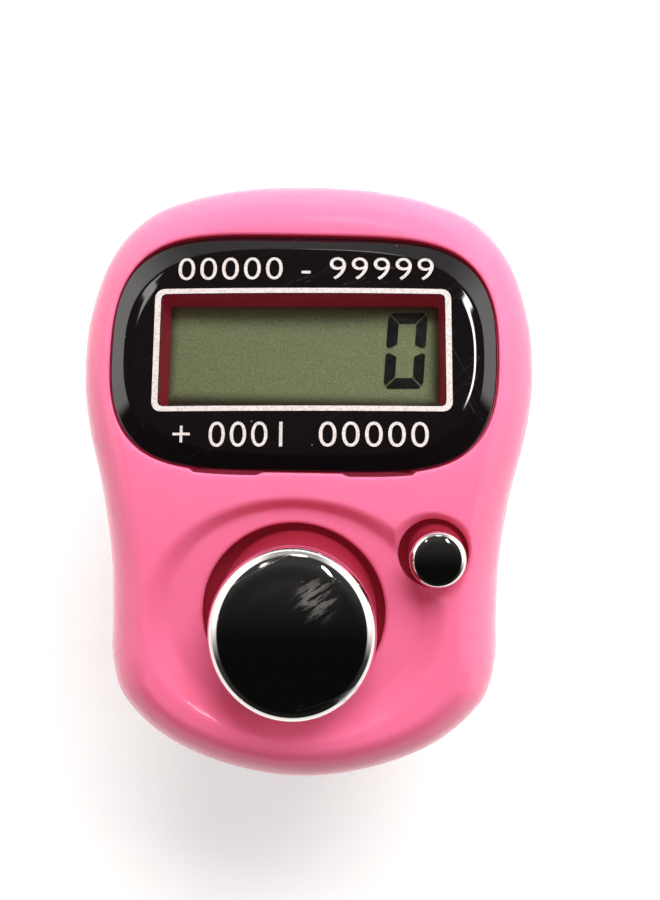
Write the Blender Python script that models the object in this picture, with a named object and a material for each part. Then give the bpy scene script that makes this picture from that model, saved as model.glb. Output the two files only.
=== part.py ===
"""Electronic tally counter worn on a finger: a two-part moulded case with a display lens, a large
count button, a small reset button, the works inside, a battery door and a ratchet strap.

Axes: X runs along the reading direction, Y towards the top of the display, Z out of the face.
The origin is under the middle of the case, on the surface that the strap loop stands on.
All lengths are in metres.
"""
import math

import bmesh
import bpy
from mathutils import Vector

# Overall sizes of the case
case_length = 0.0420
case_width = 0.0320
case_depth = 0.0120
case_wall = 0.0013
edge_roll = 0.0042
edge_band = 0.0006
crown_drop = 0.00085
crown_radius = case_width ** 2 / (8 * crown_drop)
crest_blend = 0.0040
display_tilt = math.radians(10.0)
button_tilt = math.radians(6.0)

# Clearances that every fit in the assembly uses
layer_gap = 0.0001
seat_gap = 0.0002
side_gap = 0.0003
overrun = 0.0010

# Depth of the works: a case of another depth takes a cell of another thickness
works_depth = 0.00895
battery_thickness = case_depth - works_depth
door_thickness = 0.0009
leaf_room = 0.0005
board_over_parting = 0.00065
parting_height = door_thickness + seat_gap + battery_thickness + leaf_room - board_over_parting

# Strap and the finger space inside it
strap_thickness = 0.0012
strap_width = 0.0088
finger_height = 0.0164
back_z = strap_thickness + finger_height
parting_z = back_z + parting_height
crest_z = back_z + case_depth

# Half of the case outline from the display end to the button end: across, along
outline_shares = (
    (0.000, 1.000), (0.280, 0.990), (0.527, 0.953), (0.733, 0.885), (0.889, 0.750),
    (0.980, 0.547), (1.000, 0.343), (0.972, 0.165), (0.905, -0.045), (0.863, -0.266),
    (0.856, -0.470), (0.853, -0.604), (0.796, -0.739), (0.602, -0.875), (0.320, -0.965),
    (0.000, -1.000),
)
crown_shares = (0.74, 0.46, 0.20)
span_steps = 8
outline_steps = 60
roll_steps = 4

quarter_turn = math.pi / 2
full_turn = math.pi * 2


def clear_scene():
    """Take away whatever the scene held before."""
    for item in list(bpy.data.objects):
        bpy.data.objects.remove(item, do_unlink=True)


def make_material(name, colour, roughness, metallic=0.0):
    """A plain surface in the part's own colour."""
    material = bpy.data.materials.new(name)
    material.use_nodes = True
    shader = material.node_tree.nodes["Principled BSDF"]
    shader.inputs["Base Color"].default_value = (*colour, 1.0)
    shader.inputs["Roughness"].default_value = roughness
    shader.inputs["Metallic"].default_value = metallic
    return material


def make_group(name, location, tilt):
    """An empty that carries pieces whose plane leans about the X axis."""
    group = bpy.data.objects.new(name, None)
    bpy.context.collection.objects.link(group)
    group.location = location
    group.rotation_euler = (tilt, 0.0, 0.0)
    return group


def put(mesh_builder, name, material=None, group=None, location=(0.0, 0.0, 0.0)):
    """Turn a bmesh into a named object, shaded smooth except at its edges."""
    bmesh.ops.recalc_face_normals(mesh_builder, faces=mesh_builder.faces)
    mesh = bpy.data.meshes.new(name)
    mesh_builder.to_mesh(mesh)
    mesh_builder.free()
    mesh.shade_smooth()
    mesh.set_sharp_from_angle(angle=math.radians(35.0))
    if material is not None:
        mesh.materials.append(material)
    item = bpy.data.objects.new(name, mesh)
    bpy.context.collection.objects.link(item)
    item.location = location
    item.parent = group
    return item


def shape_with(target, tool, operation):
    """Add the tool's shape to the target, or cut it away, and keep the tool as a guide."""
    step = target.modifiers.new(tool.name, "BOOLEAN")
    step.operation = operation
    step.solver = "EXACT"
    step.object = tool
    tool.hide_render = True
    tool.display_type = "WIRE"


def cut(target, tool):
    shape_with(target, tool, "DIFFERENCE")


def add(target, tool):
    shape_with(target, tool, "UNION")


# Flat outlines

def circle(radius, steps, centre=(0.0, 0.0)):
    turns = [full_turn * step / steps for step in range(steps)]
    return [(centre[0] + radius * math.cos(a), centre[1] + radius * math.sin(a)) for a in turns]


def rectangle(low, high):
    """Corners of a rectangle from its lowest to its highest corner."""
    return [(low[0], low[1]), (high[0], low[1]), (high[0], high[1]), (low[0], high[1])]


def rounded_rectangle(width, height, radius, centre=(0.0, 0.0), steps=5):
    """Rectangle with round corners, each corner an arc of the given steps."""
    points = []
    signs = ((1, 1), (-1, 1), (-1, -1), (1, -1))
    for quarter, (side_x, side_y) in enumerate(signs):
        middle_x = centre[0] + side_x * (width / 2 - radius)
        middle_y = centre[1] + side_y * (height / 2 - radius)
        for step in range(steps + 1):
            angle = quarter_turn * (quarter + step / steps)
            points.append((middle_x + radius * math.cos(angle), middle_y + radius * math.sin(angle)))
    return points


def squared_oval(half_width, half_height, power, steps):
    """Superellipse: an oval that fills its corners as the power grows."""
    points = []
    for step in range(steps):
        angle = full_turn * step / steps
        cosine, sine = math.cos(angle), math.sin(angle)
        across = math.copysign(abs(cosine) ** (2 / power), cosine)
        along = math.copysign(abs(sine) ** (2 / power), sine)
        points.append((half_width * across, half_height * along))
    return points


# Solids from outlines

def join_rings(builder, first, second):
    """Faces between two rings of the same count, or between a ring and a single point."""
    if len(first) == 1:
        first, second = second, first
    count = len(first)
    for i in range(count):
        j = (i + 1) % count
        if len(second) == 1:
            builder.faces.new((first[i], first[j], second[0]))
        else:
            builder.faces.new((first[i], first[j], second[j], second[i]))


def skin(rings, closed=False):
    """A closed body over a run of rings. Closed joins the last ring to the first."""
    builder = bmesh.new()
    loops = [[builder.verts.new(point) for point in ring] for ring in rings]
    for first, second in zip(loops, loops[1:]):
        join_rings(builder, first, second)
    if closed:
        join_rings(builder, loops[-1], loops[0])
        return builder
    for end in (loops[0], loops[-1]):
        if len(end) > 2:
            builder.faces.new(end)
    return builder


def level(outline, height):
    """An outline as a ring at one height."""
    return [(x, y, height) for x, y in outline]


def prism(outline, low, high):
    return skin([level(outline, low), level(outline, high)])


def prisms(outlines, low, high):
    """Several prisms that stand apart, in one mesh."""
    builder = bmesh.new()
    for outline in outlines:
        loops = [[builder.verts.new(p) for p in level(outline, z)] for z in (low, high)]
        join_rings(builder, loops[0], loops[1])
        builder.faces.new(loops[0])
        builder.faces.new(loops[1])
    return builder


def frame_prism(outer, inner, low, high):
    """A flat frame: the space between two outlines of the same count."""
    rings = [level(outer, low), level(outer, high), level(inner, high), level(inner, low)]
    return skin(rings, closed=True)


def turned(profile, steps, centre=(0.0, 0.0)):
    """A turned body. The profile lists radius and height; radius zero ends it on the axis."""
    rings = []
    for radius, height in profile:
        if radius == 0:
            rings.append([(centre[0], centre[1], height)])
        else:
            rings.append(level(circle(radius, steps, centre), height))
    return skin(rings, closed=len(rings[0]) > 1)


def band(stations, half_width):
    """A strip along a route in the Y-Z plane.

    Each station is a point, the direction of its outer side, and the depth of the strip on the
    inner and on the outer side of the route. The long edges are chamfered by edge_share.
    """
    edge_share = 0.25
    rings = []
    for point, outward, inner, outer in stations:
        edge = edge_share * (inner + outer)
        corners = ((-half_width, outer - edge), (-half_width + edge, outer),
                   (half_width - edge, outer), (half_width, outer - edge),
                   (half_width, edge - inner), (half_width - edge, -inner),
                   (edge - half_width, -inner), (-half_width, edge - inner))
        ring = []
        for x, reach in corners:
            ring.append((x, point[0] + outward[0] * reach, point[1] + outward[1] * reach))
        rings.append(ring)
    return skin(rings)


# Case surface

def smooth_loop(points, steps):
    """A closed smooth curve through the points, with a fixed count of steps in each span."""
    count = len(points)
    curve = []
    for i in range(count):
        before, start, end, after = (Vector(points[(i + k) % count]) for k in (-1, 0, 1, 2))
        for step in range(steps):
            t = step / steps
            linear = (end - before) * t
            square = (2 * before - 5 * start + 4 * end - after) * t ** 2
            cube = (3 * start - before - 3 * end + after) * t ** 3
            curve.append((2 * start + linear + square + cube) / 2)
    return curve


def space_evenly(curve, count):
    """Points at even distances along a closed curve."""
    lengths = [(curve[(i + 1) % len(curve)] - point).length for i, point in enumerate(curve)]
    spacing = sum(lengths) / count
    points = []
    travelled, index = 0.0, 0
    for step in range(count):
        target = spacing * step
        while travelled + lengths[index] < target:
            travelled += lengths[index]
            index += 1
        share = (target - travelled) / lengths[index]
        points.append(curve[index].lerp(curve[(index + 1) % len(curve)], share))
    return points


def base_outline():
    half = [Vector((x * case_width / 2, y * case_length / 2)) for x, y in outline_shares]
    mirrored = [Vector((-point.x, point.y)) for point in reversed(half[1:-1])]
    return space_evenly(smooth_loop(half + mirrored, span_steps), outline_steps)


outline_points = base_outline()


def case_outline(inset):
    """The outline of the case, moved inwards along its normals."""
    points = []
    for i, point in enumerate(outline_points):
        along = outline_points[(i + 1) % outline_steps] - outline_points[i - 1]
        inwards = Vector((along.y, -along.x)).normalized()
        points.append(tuple(point + inwards * inset))
    return points


def ramp(distance):
    """Grows with distance on one side of the crest, fades to nothing on the other."""
    return (math.hypot(distance, crest_blend) + distance - crest_blend) / 2


def face_height(x, y):
    """Height of the arched and slightly crowned face, without its rolled edge."""
    arch = math.tan(display_tilt) * ramp(y) + math.tan(button_tilt) * ramp(-y)
    return crest_z - arch - x ** 2 / (2 * crown_radius)


def case_height(x, y):
    """Height of the outer surface anywhere inside the outline."""
    inset = min(math.hypot(x - point.x, y - point.y) for point in outline_points)
    cosine = max(0.0, 1 - inset / edge_roll)
    foot = parting_z + edge_band
    return foot + (face_height(x, y) - foot) * math.sqrt(1 - cosine ** 2)


def shell_rings(depth):
    """Rings of the front shell from its parting edge to its middle, at a depth in the wall."""
    foot = parting_z + edge_band
    rings = [level(case_outline(depth), parting_z)]
    for step in range(roll_steps + 1):
        angle = quarter_turn * step / roll_steps
        ring = []
        for x, y in case_outline(depth + (edge_roll - depth) * (1 - math.cos(angle))):
            ring.append((x, y, foot + (face_height(x, y) - depth - foot) * math.sin(angle)))
        rings.append(ring)
    brim = rings[-1]
    for share in crown_shares:
        ring = []
        for x, y, _ in brim:
            ring.append((x * share, y * share, face_height(x * share, y * share) - depth))
        rings.append(ring)
    rings.append([(0.0, 0.0, face_height(0.0, 0.0) - depth)])
    return rings


# Display: everything that lies parallel to the tilted lens, in the upper half of the case
lens_side_margin = 0.0033
lens_end_margin = 0.0048
lens_low_margin = 0.0012
lens_width = case_width - 2 * lens_side_margin
lens_height = case_length / 2 - lens_end_margin - lens_low_margin
lens_y = lens_low_margin + lens_height / 2
lens_thickness = 0.0011
lens_proud = 0.0003
lens_roll = 0.0011
lens_power = 3.5
lens_steps = 52
tape_thickness = 0.00015
tape_width = 0.0016
pocket_floor = 0.0007
pocket_margin = 0.0009
window_side_margin = 0.0035
window_end_margin = 0.0040
window_width = lens_width - 2 * window_side_margin
window_height = lens_height - 2 * window_end_margin
window_rise = 0.0005
window_radius = 0.0006
tab_width = 0.0045
tab_thickness = 0.0005
tab_centre = lens_width / 5
tab_slot_reach = 0.0004
tab_drop = 0.0012
cell_side_margin = 0.0021
cell_end_margin = 0.0026
lcd_width = lens_width - 2 * cell_side_margin
lcd_height = lens_height - 2 * cell_end_margin
lcd_thickness = 0.0009
film_thickness = 0.00015
frame_wall = 0.0006
frame_lip = 0.00035
cell_ledge = 0.0015
ribbon_side_margin = 0.0026
ribbon_width = lcd_width - 2 * ribbon_side_margin
ribbon_thickness = 0.0002

pocket_z = -(lens_thickness + tape_thickness + 2 * layer_gap)
ledge_z = pocket_z - pocket_floor
film_top_z = ledge_z - layer_gap
lcd_top_z = film_top_z - film_thickness - layer_gap
lcd_low_z = lcd_top_z - lcd_thickness
reflector_top_z = lcd_low_z - layer_gap
reflector_low_z = reflector_top_z - film_thickness
frame_low_z = reflector_low_z - layer_gap - frame_lip


def tab_outlines(thickness, width, outer_y):
    """Two rectangles under the lower edge of the lens, one on each side of the middle."""
    outlines = []
    for side in (-1, 1):
        low = (side * tab_centre - width / 2, outer_y)
        high = (side * tab_centre + width / 2, outer_y + thickness)
        outlines.append(rectangle(low, high))
    return outlines


tab_outer_y = tab_thickness / 2 - lens_height / 2


def make_lens(group, material):
    """Clear plate with a crowned top, a rolled edge and two tabs on its lower edge."""
    half_width, half_height = lens_width / 2, lens_height / 2
    rings = [level(squared_oval(half_width, half_height, lens_power, lens_steps), -lens_thickness)]
    shoulder = lens_proud - 2 * lens_proud
    for step in range(roll_steps):
        angle = quarter_turn * step / (roll_steps - 1)
        inset = lens_roll * (1 - math.cos(angle))
        ring = []
        for x, y in squared_oval(half_width - inset, half_height - inset, lens_power, lens_steps):
            top = lens_proud - x ** 2 / (2 * crown_radius)
            start = shoulder - x ** 2 / (2 * crown_radius)
            ring.append((x, y, start + (top - start) * math.sin(angle)))
        rings.append(ring)
    for share in crown_shares:
        ring = [(x * share, y * share) for x, y, _ in rings[roll_steps]]
        rings.append([(x, y, lens_proud - x ** 2 / (2 * crown_radius)) for x, y in ring])
    rings.append([(0.0, 0.0, lens_proud)])
    lens = put(skin(rings), "display_lens", material, group)
    tabs = prisms(tab_outlines(tab_thickness, tab_width, tab_outer_y),
                  pocket_z - tab_drop, seat_gap - lens_thickness)
    add(lens, put(tabs, "lens_tabs", group=group))
    return lens


def make_display(group, materials):
    """Lens, its tape, and the liquid crystal cell in its frame, all in the tilted plane."""
    make_lens(group, materials["lens"])
    half_width, half_height = lens_width / 2 - tape_width / 2, lens_height / 2 - tape_width / 2
    outer = squared_oval(half_width, half_height, lens_power, lens_steps)
    inner = squared_oval(half_width - tape_width, half_height - tape_width, lens_power, lens_steps)
    tape_low = pocket_z + layer_gap
    tape = frame_prism(outer, inner, tape_low, tape_low + tape_thickness)
    put(tape, "lens_tape", materials["tape"], group)

    centre = (0.0, window_rise)
    cell = rectangle((-lcd_width / 2, window_rise - lcd_height / 2),
                     (lcd_width / 2, window_rise + lcd_height / 2))
    film_inset = 2 * film_thickness
    film = rectangle((film_inset - lcd_width / 2, window_rise + film_inset - lcd_height / 2),
                     (lcd_width / 2 - film_inset, window_rise + lcd_height / 2 - film_inset))
    put(prism(film, film_top_z - film_thickness, film_top_z), "lcd_polariser",
        materials["film"], group)
    put(prism(cell, lcd_low_z, lcd_top_z), "lcd_cell", materials["glass"], group)
    ledge_corner = (film[0][0], window_rise - lcd_height / 2 + cell_ledge)
    mirror = rectangle(ledge_corner, film[2])
    put(prism(mirror, reflector_low_z, reflector_top_z), "lcd_reflector",
        materials["reflector"], group)

    room_width, room_height = lcd_width + 2 * seat_gap, lcd_height + 2 * seat_gap
    corner = frame_wall / 2
    shape = rounded_rectangle(room_width + 2 * frame_wall, room_height + 2 * frame_wall,
                              corner + frame_wall, centre, steps=2)
    frame = put(prism(shape, frame_low_z, ledge_z - layer_gap), "lcd_frame",
                materials["frame"], group)
    room = rounded_rectangle(room_width, room_height, corner, centre, steps=2)
    cut(frame, put(prism(room, frame_low_z + frame_lip, ledge_z + overrun), "lcd_room", group=group))
    light = rounded_rectangle(room_width - 4 * frame_wall, room_height - 4 * frame_wall, corner,
                              centre, steps=2)
    cut(frame, put(prism(light, frame_low_z - overrun, ledge_z), "lcd_frame_hole", group=group))
    gate_low = (-ribbon_width / 2 - side_gap, window_rise - room_height / 2 - frame_wall - overrun)
    gate_high = (ribbon_width / 2 + side_gap, window_rise - room_height / 2 + 3 * frame_wall)
    gate = prism(rectangle(gate_low, gate_high), frame_low_z - overrun, lcd_low_z - layer_gap)
    cut(frame, put(gate, "lcd_frame_gate", group=group))


# The thumb dish fills the lower half of the case and is centred on the count button
dish_side_margin = 0.0053
dish_end_margin = 0.0039
dish_crest_margin = 0.0003
dish_half_width = case_width / 2 - dish_side_margin
dish_half_height = (case_length / 2 - dish_end_margin - dish_crest_margin) / 2
dish_depth = 0.0015
dish_power = 5
dish_lip_share = 1.07
dish_back_share = 0.85
dish_shares = (0.50, 0.75, 0.90, 1.00)
dish_steps = 40
reset_dish_radius = 0.0031
reset_dish_depth = 0.0005

# Buttons: both travel along one tilted direction
count_x = -0.0005
count_y = -dish_crest_margin - dish_half_height
count_play = 0.0010
count_diameter = dish_half_width
count_hole = count_diameter + count_play
count_rise = 0.0039
count_travel = 0.0010
reset_offset_share = 0.83
reset_offset_y = 0.0045
reset_x = count_x + dish_half_width * reset_offset_share
reset_y = count_y + reset_offset_y
reset_play = 0.0009
reset_share = 0.345
reset_diameter = dish_half_width * reset_share
reset_hole = reset_diameter + reset_play
reset_rise = 0.0017
reset_travel = 0.0006
reset_flange_drop = 0.0005
flange_width = 0.0011
flange_thickness = 0.0007
button_wall = 0.0011
plunger_diameter = 0.0030
button_steps = 36
reset_steps = 20


def bowl(half_width, half_height, depth, top, rim_share, steps, drop=0.0):
    """A shallow bowl-shaped solid: a flat-bottomed curve below, carried up to a flat top."""
    rings = [[(0.0, 0.0, -depth - drop)]]
    unit_circle = circle(1.0, steps)
    shares = [share for share in dish_shares if share < rim_share] + [rim_share]
    for share in shares:
        height = -depth * (1 - share ** dish_power) - drop
        rings.append([(x * half_width * share, y * half_height * share, height)
                      for x, y in unit_circle])
    rings.append([(x, y, top) for x, y, _ in rings[-1]])
    return skin(rings)


def button_profile(radius, rise, flange_top, plunger_low, wall):
    """Half section of a hollow domed button with a flange and a plunger, from its crown down."""
    edge = wall
    dome = wall / 3
    brow = radius - edge
    profile = [(0.0, rise), (brow * 0.6, rise - dome * 0.36), (brow, rise - dome)]
    edge_steps = 4
    for step in range(1, edge_steps + 1):
        angle = quarter_turn * step / edge_steps
        profile.append((radius - edge * (1 - math.sin(angle)),
                        rise - dome - edge * (1 - math.cos(angle))))
    flange_low = flange_top - flange_thickness
    room = rise - dome - 2 * wall
    plunger = min(plunger_diameter / 2, radius / 2 - wall / 4)
    profile += [(radius, flange_top), (radius + flange_width, flange_top),
                (radius + flange_width, flange_low), (radius - wall, flange_low),
                (radius - wall, room), (plunger, room), (plunger, plunger_low), (0.0, plunger_low)]
    return profile


# Circuit board, battery and what sits on and under the board
board_thickness = 0.0008
board_inset = 0.0027
board_end_margin = 0.0070
battery_diameter = 0.0116
battery_y = 0.0
door_width = 0.0179
door_height = 0.0138
door_shift = 0.0017
door_radius = 0.0022
door_screw_x = 0.0086
door_tongue_width = 0.0060
door_tongue_reach = 0.0007
door_tongue_thickness = 0.0004
dome_wall = 0.0004

battery_low_z = back_z + door_thickness + seat_gap
battery_top_z = battery_low_z + battery_thickness
leaf_thickness = 0.0002
board_low_z = battery_top_z + leaf_room
board_top_z = board_low_z + board_thickness
frame_clearance = face_height(0.0, lens_y) + frame_low_z / math.cos(display_tilt) - board_top_z
board_end_y = min(case_length / 2 - board_end_margin,
                  lens_y + (frame_clearance - layer_gap) / math.tan(display_tilt))

# Posts and screws
screw_steps = 12
post_diameter = 0.0036
screw_hole = 0.0020
screw_diameter = 0.0015
screw_head = 0.0029
screw_head_height = 0.0008
screw_bore = 0.0035
screw_edge = 0.0034
board_screw_edge = 0.0038
top_screw_share = 0.925
low_screw_share = -0.845
board_screw_shares = (-0.22, -0.50)
post_steps = 16


def inside_edge(side, along_share, inset):
    """A place inside the outline: off its point at a share of the half length, on one side."""
    level_y = along_share * case_length / 2
    flank = [i for i, point in enumerate(outline_points) if point.x * side > 0]
    nearest = min(flank, key=lambda i: abs(outline_points[i].y - level_y))
    return case_outline(inset)[nearest]


case_screw_places = tuple(inside_edge(side, share, screw_edge)
                          for share in (top_screw_share, low_screw_share) for side in (-1, 1))
board_screw_places = tuple(inside_edge(side, share, board_screw_edge)
                           for side, share in zip((-1, 1), board_screw_shares))


def lowest_over(shape):
    """The lowest height that the outer surface has over an outline."""
    return min(case_height(*corner) for corner in shape)


def screw_hole_top(place):
    """Blind end of a screw hole in the front case."""
    return lowest_over(circle(screw_hole / 2, post_steps, place)) - 2 * case_wall


def make_front_case(material, display, count_group, reset_group):
    """Front moulding: arched shell with the lens pocket, the window, the dishes and the posts."""
    outside = list(reversed(shell_rings(0.0)))
    case = put(skin(outside + shell_rings(case_wall)), "front_case", material)

    margin = squared_oval(lens_width / 2 + pocket_margin, lens_height / 2 + pocket_margin,
                          lens_power, lens_steps)
    pad_top = -case_wall * 0.8
    add(case, put(prism(margin, ledge_z, pad_top), "lens_pad", group=display))

    back = bowl(dish_half_width * dish_back_share, dish_half_height * dish_back_share,
                dish_depth, -case_wall / 2, 1.0, dish_steps, drop=case_wall)
    add(case, put(back, "dish_back", group=count_group))

    for number, (x, y) in enumerate(case_screw_places + board_screw_places):
        is_board_post = number >= len(case_screw_places)
        low = board_top_z + seat_gap if is_board_post else parting_z + lip_rise + seat_gap
        shape = circle(post_diameter / 2, post_steps, (x, y))
        top = lowest_over(shape) - case_wall / 2
        add(case, put(prism(shape, low, top), f"front_post_{number + 1}"))

    pocket = squared_oval(lens_width / 2 + side_gap / 2, lens_height / 2 + side_gap / 2,
                          lens_power, lens_steps)
    cut(case, put(prism(pocket, pocket_z, case_wall), "lens_pocket", group=display))
    window = rounded_rectangle(window_width, window_height, window_radius, (0.0, window_rise),
                               steps=3)
    cut(case, put(prism(window, ledge_z - overrun, overrun), "display_window", group=display))
    slot_outer = -lens_height / 2 - tab_slot_reach
    slot_depth = tab_slot_reach + tab_thickness * 2
    slots = prisms(tab_outlines(slot_depth, tab_width + side_gap, slot_outer),
                   ledge_z - overrun - case_wall, case_wall)
    cut(case, put(slots, "tab_slots", group=display))

    dish = bowl(dish_half_width, dish_half_height, dish_depth, case_wall, dish_lip_share, dish_steps)
    cut(case, put(dish, "thumb_dish", group=count_group))
    small_dish = bowl(reset_dish_radius, reset_dish_radius, reset_dish_depth, case_wall,
                      dish_lip_share, reset_steps)
    cut(case, put(small_dish, "reset_dish", group=reset_group))
    count_bore = prism(circle(count_hole / 2, button_steps), -case_depth / 2, case_wall)
    cut(case, put(count_bore, "count_bore", group=count_group))
    reset_bore = prism(circle(reset_hole / 2, reset_steps), -case_depth / 2, case_wall)
    cut(case, put(reset_bore, "reset_bore", group=reset_group))

    for number, place in enumerate(case_screw_places + board_screw_places):
        shape = circle(screw_hole / 2, post_steps, place)
        hole = prism(shape, parting_z - overrun, screw_hole_top(place))
        cut(case, put(hole, f"front_screw_hole_{number + 1}"))
    return case


# Back case
back_roll = 0.0016
back_floor = 0.0012
lip_inset = 0.0015
lip_width = 0.0006
lip_rise = 0.0007
door_ledge_share = 0.26
door_ledge = battery_thickness * door_ledge_share
door_ledge_margin = 0.0010
battery_ring_wall = 0.0010
buckle_end_margin = 0.0068
buckle_y = buckle_end_margin - case_length / 2
buckle_bar = 0.0024
buckle_bar_thickness = 0.0012
buckle_side = 0.0014
buckle_room = 0.0024
anchor_y = 0.0108
anchor_head = 0.0030
anchor_head_share = 0.35
anchor_head_height = parting_height * anchor_head_share
anchor_slot_gap = 0.0003

floor_z = back_z + back_floor
door_roof_z = back_z + door_thickness + seat_gap
door_pad_z = door_roof_z + door_ledge
battery_hole = battery_diameter + 2 * side_gap
screw_seat_z = back_z + screw_head_height + door_thickness


def door_outline(growth):
    return rounded_rectangle(door_width + 2 * growth, door_height + 2 * growth,
                             door_radius + growth, (door_shift, battery_y))


def door_tongue(growth):
    """The tongue at the far end of the door from its screw, or its slot when grown."""
    edge = door_shift - door_width / 2
    half = door_tongue_width / 2 + growth
    shape = rectangle((edge - door_tongue_reach - growth, -half), (edge + door_radius, half))
    top = back_z + door_thickness
    return prism(shape, top - door_tongue_thickness - growth, top + growth)


def make_back_case(material):
    """Back moulding: tray with a locating lip, battery well, door recess, strap slot and buckle."""
    rings = []
    for step in range(roll_steps + 1):
        angle = quarter_turn * step / roll_steps
        inset = layer_gap + back_roll * (1 - math.sin(angle))
        rings.append(level(case_outline(inset), back_z + back_roll * (1 - math.cos(angle))))
    top = parting_z - seat_gap
    rings.append(level(case_outline(layer_gap), top))
    rings.append(level(case_outline(lip_inset), top))
    rings.append(level(case_outline(lip_inset), parting_z + lip_rise))
    rings.append(level(case_outline(lip_inset + lip_width), parting_z + lip_rise))
    rings.append(level(case_outline(lip_inset + lip_width), floor_z))
    case = put(skin(rings), "back_case", material)

    sunk = floor_z - back_floor / 2
    pad = prism(door_outline(door_ledge_margin), sunk, door_pad_z)
    add(case, put(pad, "door_pad"))
    ring_top = parting_z
    ring_radius = battery_hole / 2 + battery_ring_wall
    add(case, put(prism(circle(ring_radius, dish_steps), sunk, ring_top), "battery_ring"))
    for number, (x, y) in enumerate(case_screw_places + ((door_screw_x, battery_y),)):
        post = prism(circle(screw_bore / 2 + frame_wall, post_steps, (x, y)), sunk,
                     parting_z - seat_gap)
        add(case, put(post, f"back_post_{number + 1}"))

    bar_top = back_z - buckle_room
    bar_low = bar_top - buckle_bar_thickness
    inner_half = strap_width / 2 + side_gap
    outer_half = inner_half + buckle_side
    embed = back_floor / 2
    section = [(-outer_half, bar_low), (outer_half, bar_low), (outer_half, back_z + embed),
               (inner_half, back_z + embed), (inner_half, bar_top), (-inner_half, bar_top),
               (-inner_half, back_z + embed), (-outer_half, back_z + embed)]
    low_y, high_y = buckle_y - buckle_bar / 2, buckle_y + buckle_bar / 2
    buckle = skin([[(x, low_y, z) for x, z in section], [(x, high_y, z) for x, z in section]])
    add(case, put(buckle, "buckle"))

    cut(case, put(prism(door_outline(side_gap), back_z - overrun, door_roof_z), "door_recess"))
    cut(case, put(door_tongue(seat_gap), "tongue_slot"))
    well = prism(circle(battery_hole / 2, dish_steps), back_z - overrun, ring_top + overrun)
    cut(case, put(well, "battery_well"))
    for number, (x, y) in enumerate(case_screw_places):
        bore = prism(circle(screw_bore / 2, post_steps, (x, y)), back_z - overrun, screw_seat_z)
        hole = prism(circle(screw_hole / 2, post_steps, (x, y)), back_z, parting_z + overrun)
        cut(case, put(bore, f"screw_bore_{number + 1}"))
        cut(case, put(hole, f"back_screw_hole_{number + 1}"))
    door_hole = prism(circle(screw_hole / 2, post_steps, (door_screw_x, battery_y)),
                      back_z, parting_z - frame_wall)
    cut(case, put(door_hole, "door_screw_hole"))
    slot_half = strap_width / 2 + anchor_slot_gap
    slot_reach = strap_thickness / 2 + anchor_slot_gap
    slot = rectangle((-slot_half, anchor_y - slot_reach), (slot_half, anchor_y + slot_reach))
    cut(case, put(prism(slot, back_z - overrun, floor_z + overrun), "strap_slot"))
    notch_half = contact_width / 2 + side_gap
    notch = rectangle((battery_diameter / 2, -notch_half), (ring_radius + overrun, notch_half))
    cut(case, put(prism(notch, door_pad_z + seat_gap, ring_top + overrun), "contact_notch"))
    return case


# Strap
strap_corner = 0.0064
strap_bend = 0.0020
tail_end_margin = 0.0024
strap_tail_y = tail_end_margin - case_length / 2
strap_lie = 0.0004
tooth_pitch = 0.0015
tooth_height = 0.0004
tooth_rise_share = 0.88
tooth_edge_share = 0.96
tooth_start_share = 0.45
arc_steps = 8


class Route:
    """A route in the Y-Z plane made of straight runs and arcs, read by the distance along it."""

    def __init__(self):
        self.runs = []
        self.length = 0.0

    def line(self, start, end):
        start, end = Vector(start), Vector(end)
        heading = (end - start).normalized()

        def at(distance):
            return start + heading * distance, heading

        self.extend((end - start).length, at, 1)

    def arc(self, centre, radius, start_angle, turn):
        """An arc about a centre; a positive turn runs anticlockwise from +Y to +Z."""
        side = math.copysign(1.0, turn)

        def at(distance):
            angle = start_angle + side * distance / radius
            spoke = Vector((math.cos(angle), math.sin(angle)))
            return Vector(centre) + spoke * radius, Vector((-spoke.y, spoke.x)) * side

        self.extend(abs(turn) * radius, at, arc_steps)

    def extend(self, length, at, steps):
        self.runs.append((self.length, length, at, steps))
        self.length += length

    def place(self, distance):
        """The point and the outward direction, to the right of the way along the route."""
        for start, length, at, _ in self.runs:
            if distance <= start + length or start + length == self.length:
                point, heading = at(distance - start)
                return point, Vector((heading.y, -heading.x))

    def stops(self):
        """Distances of the ends of the runs and of the steps along the arcs."""
        marks = [0.0]
        for start, length, _, steps in self.runs:
            marks += [start + length * (step + 1) / steps for step in range(steps)]
        return marks


def strap_route():
    """From the anchored head down round the finger and up to the free tail under the buckle."""
    middle = strap_thickness / 2
    tail_z = back_z - strap_lie - middle
    head_z = floor_z + seat_gap + anchor_head_height
    leg_y = buckle_y + buckle_bar / 2 + side_gap + strap_bend + strap_bend / 2
    route = Route()
    corner_z = middle + strap_corner
    route.line((anchor_y, head_z), (anchor_y, corner_z))
    route.arc((anchor_y - strap_corner, corner_z), strap_corner, 0.0, -quarter_turn)
    route.line((anchor_y - strap_corner, middle), (leg_y + strap_corner, middle))
    route.arc((leg_y + strap_corner, corner_z), strap_corner, -quarter_turn, -quarter_turn)
    bend_z = tail_z - strap_bend
    route.line((leg_y, corner_z), (leg_y, bend_z))
    route.arc((leg_y - strap_bend, bend_z), strap_bend, 0.0, quarter_turn)
    route.line((leg_y - strap_bend, tail_z), (strap_tail_y, tail_z))
    return route


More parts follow.
